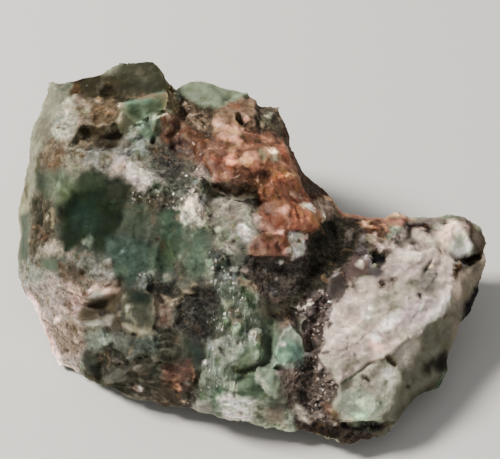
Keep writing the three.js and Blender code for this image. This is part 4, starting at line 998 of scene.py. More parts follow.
    (23.3, 1.2, 0.7, 0.9, 0, (200, 177, 149), "earth"),
    (26, 0.3, 0.3, 1.7, 30, (96, 75, 67), "earth"),
    (27.2, 0.2, 0.4, 1.2, 30, (181, 144, 118), "earth"),
    (29.6, 2.9, 1.2, 0.35, -10, (196, 168, 146), "crust"),
    (27.4, 3.4, 0.5, 0.3, 0, (52, 44, 38), "soot"),
    (19.8, -1.4, 0.6, 0.9, 0, (145, 127, 120), "grain"),
    (20.3, -0.4, 0.6, 0.35, 20, (118, 97, 96), "grain"),
    (22.6, -1.6, 0.4, 0.9, 0, (143, 133, 131), "waxy"),
    (25, -1.8, 1, 1, 0, (177, 157, 144), "grain"),
    (27.8, -3.4, 1.6, 0.8, 0, (198, 186, 178), "crust"),
    (22, -3.8, 1.6, 0.8, 0, (97, 86, 82), "soot"),
    (30, -1.4, 1.4, 0.35, 10, (155, 140, 133), "crust"),
    (29, -2.3, 1, 0.3, 0, (78, 72, 63), "soot"),
    (32.4, -2.8, 1, 0.35, 0, (99, 90, 80), "soot"),
    (36.2, 0.6, 0.6, 0.7, 0, (166, 149, 137), "grain"),
    (37.8, 0.6, 0.8, 0.6, 0, (204, 198, 187), "crust"),
    (40.4, 1.7, 1, 0.35, -10, (214, 208, 194), "crust"),
    (38.8, 1.2, 0.6, 0.3, 0, (70, 72, 60), "soot"),
    (43.2, 0.6, 0.8, 0.5, -34, (164, 144, 136), "soot"),
    (22.1, -6.6, 0.3, 0.35, 0, (236, 226, 218), "waxy"),
    (23.6, -9, 0.6, 0.35, 0, (45, 34, 25), "soot"),
    (25.9, -6.6, 0.5, 0.4, 0, (14, 14, 14), "soot"),
    (25, -5.4, 0.3, 0.3, 0, (130, 138, 136), "waxy"),
    (17.2, -8.7, 1.4, 0.22, 44, (174, 162, 155), "waxy"),
    (19.3, -9.8, 0.22, 1.4, 20, (91, 76, 71), "waxy"),
    # painted glint on the druse
    (12.2, -15.2, 0.35, 0.35, 0, (240, 232, 224), "waxy"),
    (14.4, -12.6, 0.6, 0.5, 0, (163, 155, 149), "druse"),
    # painted glint on the druse
    (11.6, -24.9, 0.45, 0.3, -10, (240, 234, 226), "waxy"),
    (12.8, -22.4, 1.4, 1.6, 0, (97, 78, 63), "druse"),
    (9.8, -27.6, 1.2, 1.4, 0, (39, 49, 42), "druse"),
    (8, -27.2, 1.4, 0.5, 0, (157, 161, 150), "crust"),
    (13.6, -27.6, 0.7, 0.8, 0, (188, 177, 171), "druse"),
    (14.6, -28.6, 0.6, 0.9, 0, (20, 14, 14), "soot"),
    (9.8, -33, 1.6, 0.9, -20, (100, 91, 81), "druse"),
    (6, -28.6, 0.5, 1, 0, (128, 114, 105), "crust"),
    (8.8, -33.8, 0.25, 1.2, 30, (152, 145, 132), "waxy"),
    (17, -31.3, 0.9, 0.6, -10, (14, 14, 14), "soot"),
    (15.8, -36.2, 0.8, 0.5, -30, (155, 127, 109), "rust"),
    # the lobe
    (26.6, -10.9, 0.7, 0.8, 0, (28, 14, 14), "earth"),
    (28.4, -10.2, 1, 0.5, 20, (56, 42, 29), "marble"),
    (34.1, -13.3, 0.5, 0.55, 0, (14, 14, 14), "earth"),
    (36.2, -7.4, 0.4, 0.4, 0, (216, 208, 188), "marble"),
    (32.6, -10.6, 1.4, 0.5, 20, (86, 77, 66), "marble"),
    (22.8, -16.6, 0.3, 1.5, 18, (228, 228, 228), "marble"),
    (23.8, -16.8, 0.3, 1.2, -10, (228, 223, 212), "marble"),
    (26.6, -15.6, 1.4, 0.7, 20, (184, 176, 164), "marble"),
    (34.4, -15.4, 0.25, 2.2, -24, (228, 219, 216), "marble"),
    (24.8, -22.8, 0.8, 1, 0, (228, 207, 200), "marble"),
    (25.6, -21.6, 0.5, 0.5, 0, (228, 221, 215), "marble"),
    (26, -23.8, 0.6, 0.6, 0, (223, 210, 201), "marble"),
    (22, -14.4, 2, 1, 30, (192, 184, 173), "marble"),
    (31.6, -7, 2, 1.6, 0, (202, 192, 185), "marble"),
    (29.4, -7.6, 1.4, 1.2, 0, (180, 170, 161), "marble"),
    (20, -18.8, 3, 0.8, 40, (203, 192, 184), "marble"),
    (28, -18.4, 3, 0.8, 38, (228, 228, 228), "marble"),
    (17.8, -20.6, 1.4, 0.6, 60, (194, 187, 177), "marble"),
    (15.8, -19.1, 0.35, 0.7, -30, (80, 69, 60), "earth"),
    (15.9, -16.6, 0.35, 0.9, -30, (164, 153, 152), "earth"),
    (15.2, -24.6, 0.8, 0.5, 10, (93, 73, 62), "crust"),
    (20.8, -26.6, 2.8, 0.5, 30, (114, 106, 87), "marble"),
    (17, -28, 2.2, 0.3, 26, (164, 150, 147), "marble"),
    (18.6, -26, 2, 0.25, 24, (209, 194, 193), "marble"),
    (39, -3.6, 0.25, 1.2, 34, (165, 135, 136), "marble"),
    (38.2, -4.6, 0.3, 0.8, 20, (185, 167, 151), "earth"),
    (42.2, -3.4, 1.2, 0.9, 0, (200, 184, 172), "marble"),
    (43.4, -9, 0.4, 1.4, -34, (107, 97, 78), "waxy"),
    (44.2, -11, 0.6, 1, -30, (97, 91, 73), "waxy"),
    (39, -17.2, 0.25, 0.8, -46, (87, 76, 65), "earth"),
    (38, -21.4, 0.8, 1.6, -20, (89, 85, 75), "waxy"),
    (28.4, -26.4, 1.5, 0.5, -38, (102, 90, 66), "earth"),
    (23.5, -30, 1.3, 0.5, -36, (121, 106, 102), "earth"),
    (31.6, -31.5, 0.7, 0.3, -20, (24, 23, 14), "earth"),
    (33, -30.6, 0.5, 0.9, 20, (77, 71, 56), "waxy"),
    (31.2, -26, 0.7, 0.9, -30, (170, 165, 151), "crust"),
    (25.8, -26.2, 1.8, 0.35, 22, (97, 92, 73), "waxy"),
    (19.4, -30.2, 2.2, 0.4, 36, (76, 97, 67), "clear"),
    (22.6, -34.6, 1.8, 1.2, 0, (192, 197, 181), "satin"),
    (21.8, -37, 1.6, 0.9, 0, (166, 180, 157), "satin"),
    (25, -31.4, 1, 1.4, -20, (154, 147, 134), "satin"),
    (27.6, -29.2, 0.8, 1.2, 0, (228, 217, 201), "satin"),
    (19.4, -38.3, 1, 0.4, 4, (178, 177, 159), "crust"),
]

# Zones of the hidden sides: x, y, z, radius, colour as seen, finish.
hiddenZones = [
    (-10, 36, 22, 11, (94, 108, 91), "clear"),
    (-34, 34, 20, 10, (119, 125, 110), "waxy"),
    (-20, 38, 12, 9, (176, 168, 152), "crust"),
    (-38, 30, 8, 9, (72, 64, 50), "druse"),
    (2, 30, 20, 7, (130, 81, 53), "rust"),
    (10, 22, 12, 7, (60, 50, 38), "lined"),
    (0, 32, 8, 8, (128, 112, 92), "earth"),
    (20, 14, 8, 7, (126, 79, 53), "rust"),
    (30, 10, 9, 7, (168, 164, 148), "marble"),
    (42, 4, 8, 5, (70, 64, 50), "druse"),
    (-46, -2, 5, 6, (101, 112, 94), "waxy"),
    (-46, 16, 8, 7, (63, 74, 60), "clear"),
    (-24, 38, 27, 5, (104, 98, 74), "clear"),
]

# What lies where nothing is named: patches of these, chosen at random.
commonPatches = {
    "size": 8,  # mm
    "seed": 7,
    "kinds": [
        ((104, 114, 97), "grain"),
        ((121, 127, 112), "waxy"),
        ((81, 94, 79), "clear"),
        ((150, 144, 126), "crust"),
        ((84, 74, 60), "druse"),
        ((112, 122, 105), "crystal"),
        ((126, 112, 92), "earth"),
        ((97, 108, 91), "grain"),
        ((140, 138, 120), "grain"),
    ],
}

# How faces, pits and lumps are cut, and where cutting and paint fade out towards the back.
chisel = {
    "wobble": 0.45,  # mm that noise bends the borders
    "wobbleSize": 2.4,  # mm
    "hold": 0.85,  # how fully a face is flattened
    "pitDepth": 1.6,  # how deep a pit or lump goes, as a part of its size
    "facingRounds": 3,  # rounds in which a slope is averaged first
    "turnedAway": (-0.3, 0.05),  # the slopes over which the front fades out
    "outOfSight": (0.1, 0.6),  # and the shares of what the observer sees there
}

# Pits and lumps: across, up, half width, half height, turn, height in mm.
pitsAndLumps = [
    (-2.2, 21.7, 1, 1.4, 10, -2),  # the hole in the knob
    (-28.3, 27.9, 2.2, 1.6, 0, -1.1),  # the crystal hollow in the back blade
    (-19.3, 17.9, 0.7, 0.9, 0, -1),
    (-29.6, 23.2, 2.4, 2.2, 0, 0.5),
    (-39.6, 14.6, 2.4, 2.6, 0, 0.5),
    (-42.2, 1, 1.1, 5, 2, -1),  # the groove inside the left rim
    (-31, 3.6, 6.6, 6.4, 0, -0.5),  # the pool
    (-27.1, 5.1, 1.8, 0.3, 6, -0.3),
    (-11.3, 3.9, 2.8, 3, 0, 0.4),  # the white knob
    (-10, 11.6, 1.3, 1.6, 30, 0.5),
    (-32.4, -2.4, 1.6, 1.4, 0, 0.5),
    (-39.6, -3.8, 2, 1.8, 0, 0.8),
    (-36, -8, 1.8, 1.4, 0, -0.7),
    (-33.4, -8.7, 0.8, 0.6, 0, -0.7),
    (-30, -15.3, 4.8, 2.2, 20, -0.2),  # the lens-shaped scoops
    (-27.2, -18.9, 2, 1.1, 10, -0.3),
    (-22, -16.8, 2.6, 3.4, 10, -0.4),
    (-3, 5.4, 5, 1.3, -4, 0.9),  # under the rust ledge
    (-9.6, 8.4, 1.4, 2, 0, 0.5),
    (-9.5, 10.1, 1.3, 1.2, 0, 0.9),
    (-3.6, 13.4, 2, 1.3, -24, 0.3),
    (-7.3, 15.2, 1.4, 2.2, -10, 0.4),
    (0, 13.8, 2.2, 1.6, 10, 0.4),
    (4.3, 14.9, 1.5, 1.4, -30, 0.2),
    (3.2, 17.8, 2, 1, -20, 0.3),
    (6.2, 14, 1.2, 2.4, 16, 0.3),
    (11, 2.8, 2.6, 1.6, -34, 0.5),
    (6.7, 4, 1.3, 2.6, 10, 0.4),
    (4.4, 3, 1.4, 2.6, 0, 0.2),
    (8.8, 8.6, 1.4, 1.8, 20, 0.3),
    (9.2, 2.6, 0.6, 1.8, 8, -0.5),
    (3.6, -3.8, 1.8, 1.4, 0, 0.3),
    (6.6, -3, 1.2, 1.8, 0, 0.3),
    (-16.6, 20, 1.8, 1.6, 0, 0.6),  # the rust arm
    (-13, 18.6, 1.6, 2, -20, 0.6),
    (-9.8, 16.6, 1.3, 2.2, -20, 0.6),
    (3.9, -30.2, 1.7, 3, 0, 0.8),  # green lumps at the foot
    (0, -31.4, 1.6, 1.4, 0, 0.4),
    (4.6, -37, 2, 1.4, 0, 0.4),
    (-8.4, -27, 0.6, 4, -6, 0.6),
    (-5.2, -27, 0.8, 3.4, 20, 0.6),
    (-2.4, -20, 1.4, 2.6, 20, 0.5),
    (-0.2, -16, 1.2, 2.6, 30, 0.4),
    (2.6, -22.8, 0.7, 4, -12, -0.5),  # beside the teal blade
    (-12.6, -12, 1.9, 1.3, 0, 0.8),  # the glass bead
    (28.4, -26.4, 1.8, 0.6, -38, -1.4),  # slots in the pale lobe
    (23.5, -30, 1.5, 0.6, -36, -1.1),
    (34.2, -13.3, 0.6, 0.6, 0, -0.8),
    (26.6, -10.9, 0.8, 0.8, 0, -0.4),
    (43.4, -6, 2.8, 0.7, 18, -0.7),
    (21.6, -28.6, 5.2, 0.4, 33, -0.4),
    (22.4, -39.2, 4, 0.7, 4, -1.2),
    (37.4, -26.8, 2.6, 2.4, 0, -0.7),
    (35.8, -7.2, 0.4, 2.6, -34, -0.4),  # the crease in the lobe's corner
    (33, -5.4, 2.6, 1.6, 0, 0.4),
    (33.9, -0.6, 2.4, 0.5, -14, 0.5),
    (23.2, -6.2, 1.2, 1.4, 0, 0.7),
]

points = readPoints(stone)
normals = readNormals(stone)
seenness = seenPart(stone, points, normals)
turned = neighbourMean(stone, normals, chisel["facingRounds"]) @ viewNear
facing = smoothStep(turned, *chisel["turnedAway"]) * smoothStep(seenness, *chisel["outOfSight"])
bend = [layeredNoise(points, chisel["wobbleSize"], seed, layers=3) * chisel["wobble"] for seed in (3, 13)]


def worked(area):  # 1 within a zone that is cut or swollen, 0 outside it
    inner = insideBy(across + bend[0], up + bend[1], area["corners"])
    return smoothStep(inner, -area["edge"], area["edge"]) * facing


for area in zones.values():
    if not area["cut"]:
        continue
    lift, leanAcross, leanUp = area["cut"]
    across, up, near = asSeen(points)
    weight = worked(area)
    mine = weight > 0.5
    flat = np.stack([across[mine], up[mine], np.ones(mine.sum())], axis=1)
    slope = np.linalg.lstsq(flat, near[mine], rcond=None)[0]
    plane = across * slope[0] + up * slope[1] + slope[2] + lift
    plane += (across - across[mine].mean()) * leanAcross + (up - up[mine].mean()) * leanUp
    points += viewNear * ((plane - near) * weight * chisel["hold"])[:, None]
writePoints(stone, points)

across, up, near = asSeen(points)
swelling = np.zeros(len(points))
for area in zones.values():
    if area["swell"]:
        swelling += worked(area) * area["swell"]
tree = BVHTree.FromObject(stone, bpy.context.evaluated_depsgraph_get())
normals = readNormals(stone)
for spotAcross, spotUp, halfWidth, halfHeight, turn, rise in pitsAndLumps:
    middle = spotOn(tree, spotAcross, spotUp)
    reach = reachOf(points, middle, halfWidth, halfHeight, turn, chisel["pitDepth"])
    swelling += np.clip(1 - reach ** 2, 0, 1) * rise
points += normals * swelling[:, None]
writePoints(stone, points)
print("flat faces, pits and lumps cut")

# The paint. A colour as seen is divided by the light that falls there, so the stone's own colour is left.
paint = {
    "ragged": 0.9,  # mm that noise pushes a soft border
    "raggedSize": 2.8,  # mm
    "grit": 0.9,  # how far grains break up a border, as a part of its softness
    "gritSize": 1.3,  # mm
    "spotRagged": 1,  # as a part of a spot's reach
    "spotRim": (0.72, 1.25),  # where a spot starts to fade, and where it ends
    "spotDepth": 2.2,  # how deep a spot goes, as a part of its reach
    "hiddenRim": 0.5,  # mm
    "warp": 4.5,  # mm that noise bends the patches of the hidden sides
    "warpSize": 8,  # mm
    "keyLight": 3.51,  # how bright white stone gets under the key light
    "skyLight": 0.715,
    "floorLight": 1,
    "leastLight": 0.6,
    "hiddenLight": 1.3,
    "lightRounds": 30,  # rounds that average a slope before it is lit
    "palest": (0.9, 0.84, 0.78),
    "brightest": 0.92,  # after the variety is laid over it
    "blending": 1,  # rounds in which colours run into each other
    "patchFade": 0.25,  # how slowly a patch of variety sets in
}

# The finishes: how smooth, how bright its reflections, how even its colour. Grains don't break a clean edge.
finishes = {
    "grain": dict(gloss=0.25, shine=0.08),
    "waxy": dict(gloss=0.4, shine=0.08, calm=0.7, cleanEdge=True),
    "clear": dict(gloss=0.3, shine=0.03, calm=1, cleanEdge=True),
    "jade": dict(gloss=0.3, shine=0.04, calm=0.55),
    "crust": dict(gloss=0.2, shine=0.09),
    "rust": dict(gloss=0.5, shine=0.11, calm=0.4, cleanEdge=True),
    "druse": dict(gloss=0.5, shine=0.1),
    "soot": dict(gloss=0.2, shine=0.03, calm=0.3),
    "earth": dict(gloss=0.15, shine=0.05),
    "marble": dict(gloss=0.4, shine=0.14, calm=0.75, cleanEdge=True),
    "satin": dict(gloss=0.35, shine=0.12, calm=0.6),
    "crystal": dict(gloss=0.55, shine=0.12, calm=0.4),
    "lined": dict(gloss=0.4, shine=0.05, cleanEdge=True),
    "layered": dict(gloss=0.3, shine=0.06),
}
finishOrder = list(finishes)

# The stone's own grain: which way streaks run, and how many times longer than wide they are.
alongSlope = (0.15, 0.66, 0.74)
alongLobe = (1, 0.5, 0.3)
alongCrust = (0.8, -0.5, -0.4)
alongRust = (1, -0.5, -0.5)
alongLines = (0.6, -0.4, -0.7)
acrossLayers = (0.35, 0.7, 0.63)
backSteps = (0.3, 0.9, 0.5)
streaks = {
    "marble": (alongLobe, 2.6), "satin": (alongLobe, 1.8), "crust": (alongCrust, 1.8),
    "crystal": (alongSlope, 3), "layered": (alongLobe, 2.4),
}

# How colour varies within a finish: the patches' size in mm, how rare they are, what they do to the colour.
variety = {
    "grain": [(2.6, 0.1, (1.28, 1.25, 1.22)), (1.8, 0.2, (0.62, 0.6, 0.54)), (4, 0.15, (0.8, 0.98, 0.8))],
    "waxy": [(5, 0.1, (1.16, 1.17, 1.12)), (3.4, 0.2, (0.8, 0.78, 0.68)), (1.6, 0.3, (0.86, 0.85, 0.78))],
    "clear": [(4, 0.1, (1.3, 1.25, 1.15)), (3, 0.12, (0.72, 0.77, 0.74))],
    "jade": [(3, 0.1, (1.25, 1.2, 1.18)), (2.2, 0.15, (0.68, 0.72, 0.66)), (1.3, 0.3, (1.3, 1.3, 1.28))],
    "crust": [(1.9, 0.15, (1.2, 1.2, 1.22)), (2.3, 0.25, (0.74, 0.65, 0.56)), (3, 0.25, (0.72, 0.82, 0.7)),
              (1.3, 0.38, (0.42, 0.36, 0.28))],
    "rust": [(2.6, 0.1, (1.25, 1.2, 1.12)), (1.9, 0.15, (0.68, 0.58, 0.5)), (3.4, 0.25, (1, 1.2, 0.85))],
    "druse": [(1.6, 0.15, (1.3, 1.26, 1.22)), (2, 0.1, (0.66, 0.66, 0.68))],
    "soot": [(1.8, 0.2, (1.4, 1.34, 1.28)), (2.4, 0.1, (0.76, 0.76, 0.8))],
    "earth": [(1.8, 0.15, (1.3, 1.2, 1.08)), (2.2, 0.15, (0.66, 0.62, 0.58))],
    "marble": [(3.4, 0.05, (1.4, 1.4, 1.38)), (2.6, 0.12, (0.66, 0.66, 0.62)), (1.1, 0.2, (0.74, 0.74, 0.72)),
               (1, 0.25, (1.4, 1.4, 1.42)), (5, 0.15, (0.84, 0.95, 0.84))],
    "satin": [(3, 0.1, (0.88, 0.94, 0.88)), (2, 0.2, (0.84, 0.82, 0.78)), (1.6, 0.2, (1.08, 1.06, 1.05))],
    "crystal": [(2.6, 0.1, (1.36, 1.33, 1.3)), (2.4, 0.12, (0.5, 0.62, 0.46))],
    "lined": [(2.4, 0.2, (1.3, 1.2, 1.1))],
    "layered": [(2.4, 0.1, (1.28, 1.25, 1.2)), (2, 0.15, (0.66, 0.64, 0.6))],
}

# Scattered bright grains: their size in mm, how many cells hold one, what it does to the colour, its rise.
brightGrains = {
    "grain": (1.1, 0.12, 1.35, 0.1),
    "jade": (1, 0.05, 1.7, 0.06),
    "crust": (0.9, 0.16, 1.16, 0.12),
    "druse": (0.8, 0.2, 1.7, 0.14),
    "soot": (0.9, 0.06, 1.7, 0.06),
    "earth": (1, 0.1, 1.5, 0.1),
    "crystal": (0.8, 0.08, 1.25, 0.05),
    "layered": (1, 0.1, 1.4, 0.08),
}

# How a scene's light turns into the tone that is seen, fitted to the view's own curve.
toneCurve = {"scale": 0.238, "rise": 1.333, "shoulder": 1.199}


def sceneLight(seen):  # a colour as seen, turned back into the light that makes it
    tone = np.array(seen) / 255
    return toneCurve["scale"] * tone ** toneCurve["rise"] / (1 - tone) ** toneCurve["shoulder"]


macro = neighbourMean(stone, readNormals(stone), paint["lightRounds"])
macro /= np.linalg.norm(macro, axis=1)[:, None]
keyDistance = np.linalg.norm(studio["keyPlace"])
towardsKey = np.array(studio["keyPlace"]) / keyDistance
nearness = (keyDistance / np.linalg.norm(points * mm - studio["keyPlace"], axis=1)) ** 2
light = np.clip(macro @ towardsKey, 0, 1) * nearness * paint["keyLight"]
light += paint["skyLight"] * (0.5 + 0.5 * macro[:, 2]) + paint["floorLight"] * (0.5 - 0.5 * macro[:, 2])
light = np.maximum(light, paint["leastLight"])[:, None] * np.array(studio["keyColour"])

colour = np.zeros((len(points), 3))
share = np.zeros((len(points), len(finishes)))


def layOn(cover, seen, finish, lightThere):
    there = np.flatnonzero(cover > 0.001)
    laidOver = cover[there][:, None]
    laid = np.minimum(sceneLight(seen) / lightThere[there], paint["palest"])
    colour[there] = colour[there] * (1 - laidOver) + laid * laidOver
    share[there] *= 1 - laidOver
    share[there, finishOrder.index(finish)] += laidOver[:, 0]


hiddenLight = np.full((len(points), 3), paint["hiddenLight"])
push = [layeredNoise(points, paint["raggedSize"], seed, keep=0.65) * paint["ragged"] for seed in (5, 25)]
ragged = layeredNoise(points, paint["raggedSize"] * 0.5, seed=35, layers=3, keep=0.7) * paint["spotRagged"]
grit = layeredNoise(points, paint["gritSize"], seed=36, layers=3, keep=0.7) * paint["grit"]
warp = [layeredNoise(points, paint["warpSize"], seed, keep=0.6) for seed in (81, 82, 83)]
warped = points + np.stack(warp, axis=1) * paint["warp"]
cells = nearestCell(warped, commonPatches["size"], commonPatches["seed"])[0]
pick = (hashed(cells, commonPatches["seed"] + 1) * len(commonPatches["kinds"])).astype(int)
for number, (seen, finish) in enumerate(commonPatches["kinds"]):
    layOn((pick == number).astype(float), seen, finish, hiddenLight)
for x, y, z, radius, seen, finish in hiddenZones:
    inner = radius - np.linalg.norm(warped - np.array((x, y, z)), axis=1)
    cover = smoothStep(inner, -paint["hiddenRim"], paint["hiddenRim"]) * (1 - facing)
    layOn(cover, seen, finish, hiddenLight)
across, up, near = asSeen(points)
for area in zones.values():
    soft = area["soft"]
    pushed = min(soft, 1)
    inner = insideBy(across + bend[0] + push[0] * pushed, up + bend[1] + push[1] * pushed, area["corners"])
    if "cleanEdge" not in finishes[area["finish"]]:
        inner += grit * soft
    layOn(smoothStep(inner, -soft, soft) * facing, area["seen"], area["finish"], light)
for spotAcross, spotUp, halfWidth, halfHeight, turn, seen, finish in spots:
    middle = spotOn(tree, spotAcross, spotUp)
    reach = reachOf(points, middle, halfWidth, halfHeight, turn, paint["spotDepth"])
    layOn(1 - smoothStep(reach + ragged, *paint["spotRim"]), seen, finish, light)
colour = neighbourMean(stone, colour, paint["blending"])
print("zones and spots laid on")

part = {name: share[:, i] for i, name in enumerate(finishes)}
for name, patches in variety.items():
    there = np.flatnonzero(part[name] > 0.01)
    pattern = stretched(points[there], *streaks.get(name, (alongSlope, 1)))
    for number, (size, start, change) in enumerate(patches):
        patch = layeredNoise(pattern, size, seed=400 + 10 * number, layers=3, keep=0.6)
        amount = (smoothStep(patch, start, start + paint["patchFade"]) * part[name][there])[:, None]
        colour[there] *= 1 - amount + amount * np.array(change)

# How rough each finish is: the height in mm at a point p. Each noise has its size in mm, then its seed.
relief = {
    "grain": lambda p: shards(p, 1.8, 11) * 0.35 + layeredNoise(p, 1.8, 12, 3, 0.65) * 0.16,
    "waxy": lambda p: chips(p, 7, 21) * 0.6 + layeredNoise(p, 3.4, 22, 3) * 0.12,
    "clear": lambda p: chips(p, 5.5, 31) * 0.4 + layeredNoise(p, 3, 32, 3) * 0.1,
    "jade": lambda p: shards(p, 3.4, 33) * 0.25 + layeredNoise(p, 2.2, 34, 3, 0.6) * 0.13,
    "crust": lambda p: layeredNoise(stretched(p, alongCrust, 2), 2, 41, 4, 0.7) * 0.3
    + shards(stretched(p, alongCrust, 2), 1.2, 43) * 0.25,
    "rust": lambda p: chips(stretched(p, alongRust, 1.5), 3, 51) * -0.6 + ridgedNoise(p, 2.6, 52) * 0.34,
    "druse": lambda p: shards(p, 1, 61) * 0.45 + layeredNoise(p, 2.6, 62, 3) * 0.3,
    "soot": lambda p: layeredNoise(p, 2.2, 63, 4, 0.6) * 0.26 + shards(p, 1.2, 64) * 0.14,
    "earth": lambda p: layeredNoise(p, 2.2, 71, 4, 0.65) * 0.28 + shards(p, 1.4, 73) * 0.16,
    "marble": lambda p: layeredNoise(stretched(p, alongLobe, 3), 1.7, 74, 4, 0.6) * 0.13
    + shards(stretched(p, alongLobe, 2.2), 3, 75) * 0.2,
    "satin": lambda p: layeredNoise(stretched(p, alongLobe, 1.6), 2.4, 23, 4, 0.6) * 0.16
    + shards(p, 2.6, 24) * 0.2,
    "crystal": lambda p: shards(stretched(p, alongSlope, 3), 1.6, 76) * 0.3 + layeredNoise(p, 3, 77, 3) * 0.3,
    "lined": lambda p: ridgedNoise(stretched(p, alongLines, 6), 1.4, 78) * 0.25 + chips(p, 5, 79) * 0.4,
    "layered": lambda p: ledges(p, acrossLayers, 1.8, 92) * 0.3
    + layeredNoise(stretched(p, alongLobe, 2), 1.6, 93, 3) * 0.2,
}

# What is cut over all finishes, in mm. The sides away from the observer break in steps, planes and chips.
carving = {
    "waver": 0.5,  # how far the relief itself is bent
    "waverSize": 3,
    "scallopSize": 13,
    "scallopMiddle": 0.5,  # so scallops rise as much as they sink
    "marbleSpared": 0.8,  # how little marble takes part in the scallops
    "stepSize": 6,
    "step": 0.7,
    "planeSize": 7,
    "plane": 0.9,
    "chipSize": 2.6,
    "chip": 0.35,
    "sink": 0.4,  # added to every break, so none stands out
    "rimRounds": 12,  # rounds in which breaks fade out before a rim
    "rimFade": (0.25, 0),
    "resting": (0.2, 2.5),  # heights over which the relief sets in
}

waver = [softNoise(points, carving["waverSize"], seed) for seed in (84, 85, 86)]
wavy = points + np.stack(waver, axis=1) * carving["waver"]
height = np.zeros(len(points))
for number, name in enumerate(finishes):
    there = np.flatnonzero(part[name] > 0.01)
    rise = relief[name](wavy[there])
    height[there] += part[name][there] * (rise - rise.mean())
    if name in brightGrains:
        size, many, change, lift = brightGrains[name]
        amount = grains(wavy[there], size, 200 + number, many) * part[name][there]
        height[there] += amount * lift
        colour[there] *= 1 + (change - 1) * amount[:, None]
scallops = chips(wavy, carving["scallopSize"], 91) - carving["scallopMiddle"]
height += scallops * (1 - carving["marbleSpared"] * part["marble"])
nearFront = neighbourMean(stone, facing[:, None], carving["rimRounds"])[:, 0]
behind = smoothStep(nearFront, *carving["rimFade"])
hidden = np.flatnonzero(behind > 0)
depth = ledges(wavy[hidden], backSteps, carving["stepSize"], 94) * carving["step"]
depth += shards(wavy[hidden], carving["planeSize"], 95) * carving["plane"]
depth += shards(wavy[hidden], carving["chipSize"], 96) * carving["chip"]
height[hidden] -= (depth + carving["sink"]) * behind[hidden]
resting = smoothStep(points[:, 2], *carving["resting"])
points += readNormals(stone) * (height * resting)[:, None]
points[:, 2] = np.maximum(points[:, 2], 0)
writePoints(stone, points)
print("relief carved")

# What the material reads from the mesh. Hollows are measured over a few rounds of neighbours, and the
# material darkens them as painted shade.
hollows = {
    "hollow": (5, 0.16),  # rounds, and the depth in mm that counts in full
    "deep": (40, 0.9),
}


def giveAttribute(piece, name, values, kind="FLOAT"):
    layer = piece.data.attributes.new(name, kind, "POINT")
    if kind == "FLOAT":
        layer.data.foreach_set("value", values)
    else:
        layer.data.foreach_set("color", np.hstack([values, np.ones((len(values), 1))]).ravel())


giveAttribute(stone, "tint", np.clip(colour, 0, paint["brightest"]), "FLOAT_COLOR")
for quality in ("gloss", "shine", "calm"):
    giveAttribute(stone, quality, sum(part[name] * finishes[name].get(quality, 0) for name in finishes))
for name, (rounds, full) in hollows.items():
    below = np.sum((neighbourMean(stone, points, rounds) - points) * readNormals(stone), axis=1)
    giveAttribute(stone, name, np.clip(below / full, -1, 1))
for name in ("crust", "rust", "druse", "soot", "clear", "crystal", "marble", "lined"):
    giveAttribute(stone, name, part[name])
modify(stone, "DECIMATE", ratio=min(1, bodyMesh["triangles"] / (2 * len(stone.data.polygons))))
print("attributes written, mesh thinned to", len(stone.data.loop_triangles), "triangles")

# The stone's material. Places and sizes are in mm, on the object itself. Each pattern has a size, detail,
# roughness, a swirl, and for some the way its place is pulled.
patterns = {
    "mottle": (2.2, 6, 0.62, 0.6),
    "stain": (3.6, 4, 0.55, 0.9),
    "fine": (0.6, 4, 0.6),
    "gaps": (1.1, 5, 0.7),
    "wisps": (2.8, 3, 0.5, 1.6),
    "rareGlint": (0.7, 2, 0.5),
    "bands": (2.2, 4, 0.6, 0.7, (0.5, 0.9, 1.1)),
    "fibre": (0.8, 5, 0.65, 0.5, (1.1, 0.4, 0.3)),
    "rust": (1.7, 5, 0.62, 0.8),
    "stripes": (1.4, 3, 0.6, 0, (2.6, 1.2, 0.5)),
}
tints = {
    "stain": (0.14, 0.085, 0.045, 1),
    "gap": (0.1, 0.082, 0.06, 1),
    "glint": (0.4, 0.42, 0.34, 1),
    "fibre": (0.55, 0.56, 0.5, 1),
    "rustBrown": (0.09, 0.045, 0.026, 1),
    "rustPink": (0.6, 0.38, 0.27, 1),
    # the colour of the painted glints on druse crystals
    "fleck": (0.3, 0.26, 0.23, 1),
}
surface = {
    "sugarSize": 0.42,  # small crystal faces
    "glintSize": 0.6,  # larger ones
    "roughest": 0.85,
    "smoothest": 0.22,
    "leastRough": 0.12,
    "fineRoughness": 0.4,  # how much the finest grain changes the roughness
    "sparkleGloss": 0.35,
    "sparkleShine": 0.25,
    "translucency": 0.1,  # of broken stone
    "calmTranslucency": 0.25,
    "scatter": (0.7, 0.9, 0.7),  # mm that red, green and blue light runs within the stone
}
bumps = {
    "strength": 0.3,
    "fine": 0.34,
    "calmFine": 0.06,
    "sugar": 0.8,
    "glint": 1.2,
    "stripes": 0.5,
    "rust": 0.6,
}

material = bpy.data.materials.new("chrysoprase")
material.use_nodes = True
nodes = material.node_tree.nodes
links = material.node_tree.links
shader = nodes["Principled BSDF"]


def feed(socket, value):  # a link where the value is a node's output, else a plain value
    if isinstance(value, bpy.types.NodeSocket):
        links.new(value, socket)
    else:
        socket.default_value = value


def attribute(name, output="Fac"):
    node = nodes.new("ShaderNodeAttribute")
    node.attribute_name = name
    return node.outputs[output]


def maths(operation, a, b=0.0, c=0.0, clamp=False):
    node = nodes.new("ShaderNodeMath")
    node.operation = operation
    node.use_clamp = clamp
    for socket, value in zip(node.inputs, (a, b, c)):
        feed(socket, value)
    return node.outputs[0]


def product(*factors):
    result = factors[0]
    for factor in factors[1:]:
        result = maths("MULTIPLY", result, factor)
    return result


def vectorMaths(operation, a, b=None, scale=None):
    node = nodes.new("ShaderNodeVectorMath")
    node.operation = operation
    feed(node.inputs[0], a)
    if scale is None:
        feed(node.inputs[1], b)
    else:
        feed(node.inputs["Scale"], scale)
    return node.outputs["Value" if operation == "DOT_PRODUCT" else "Vector"]


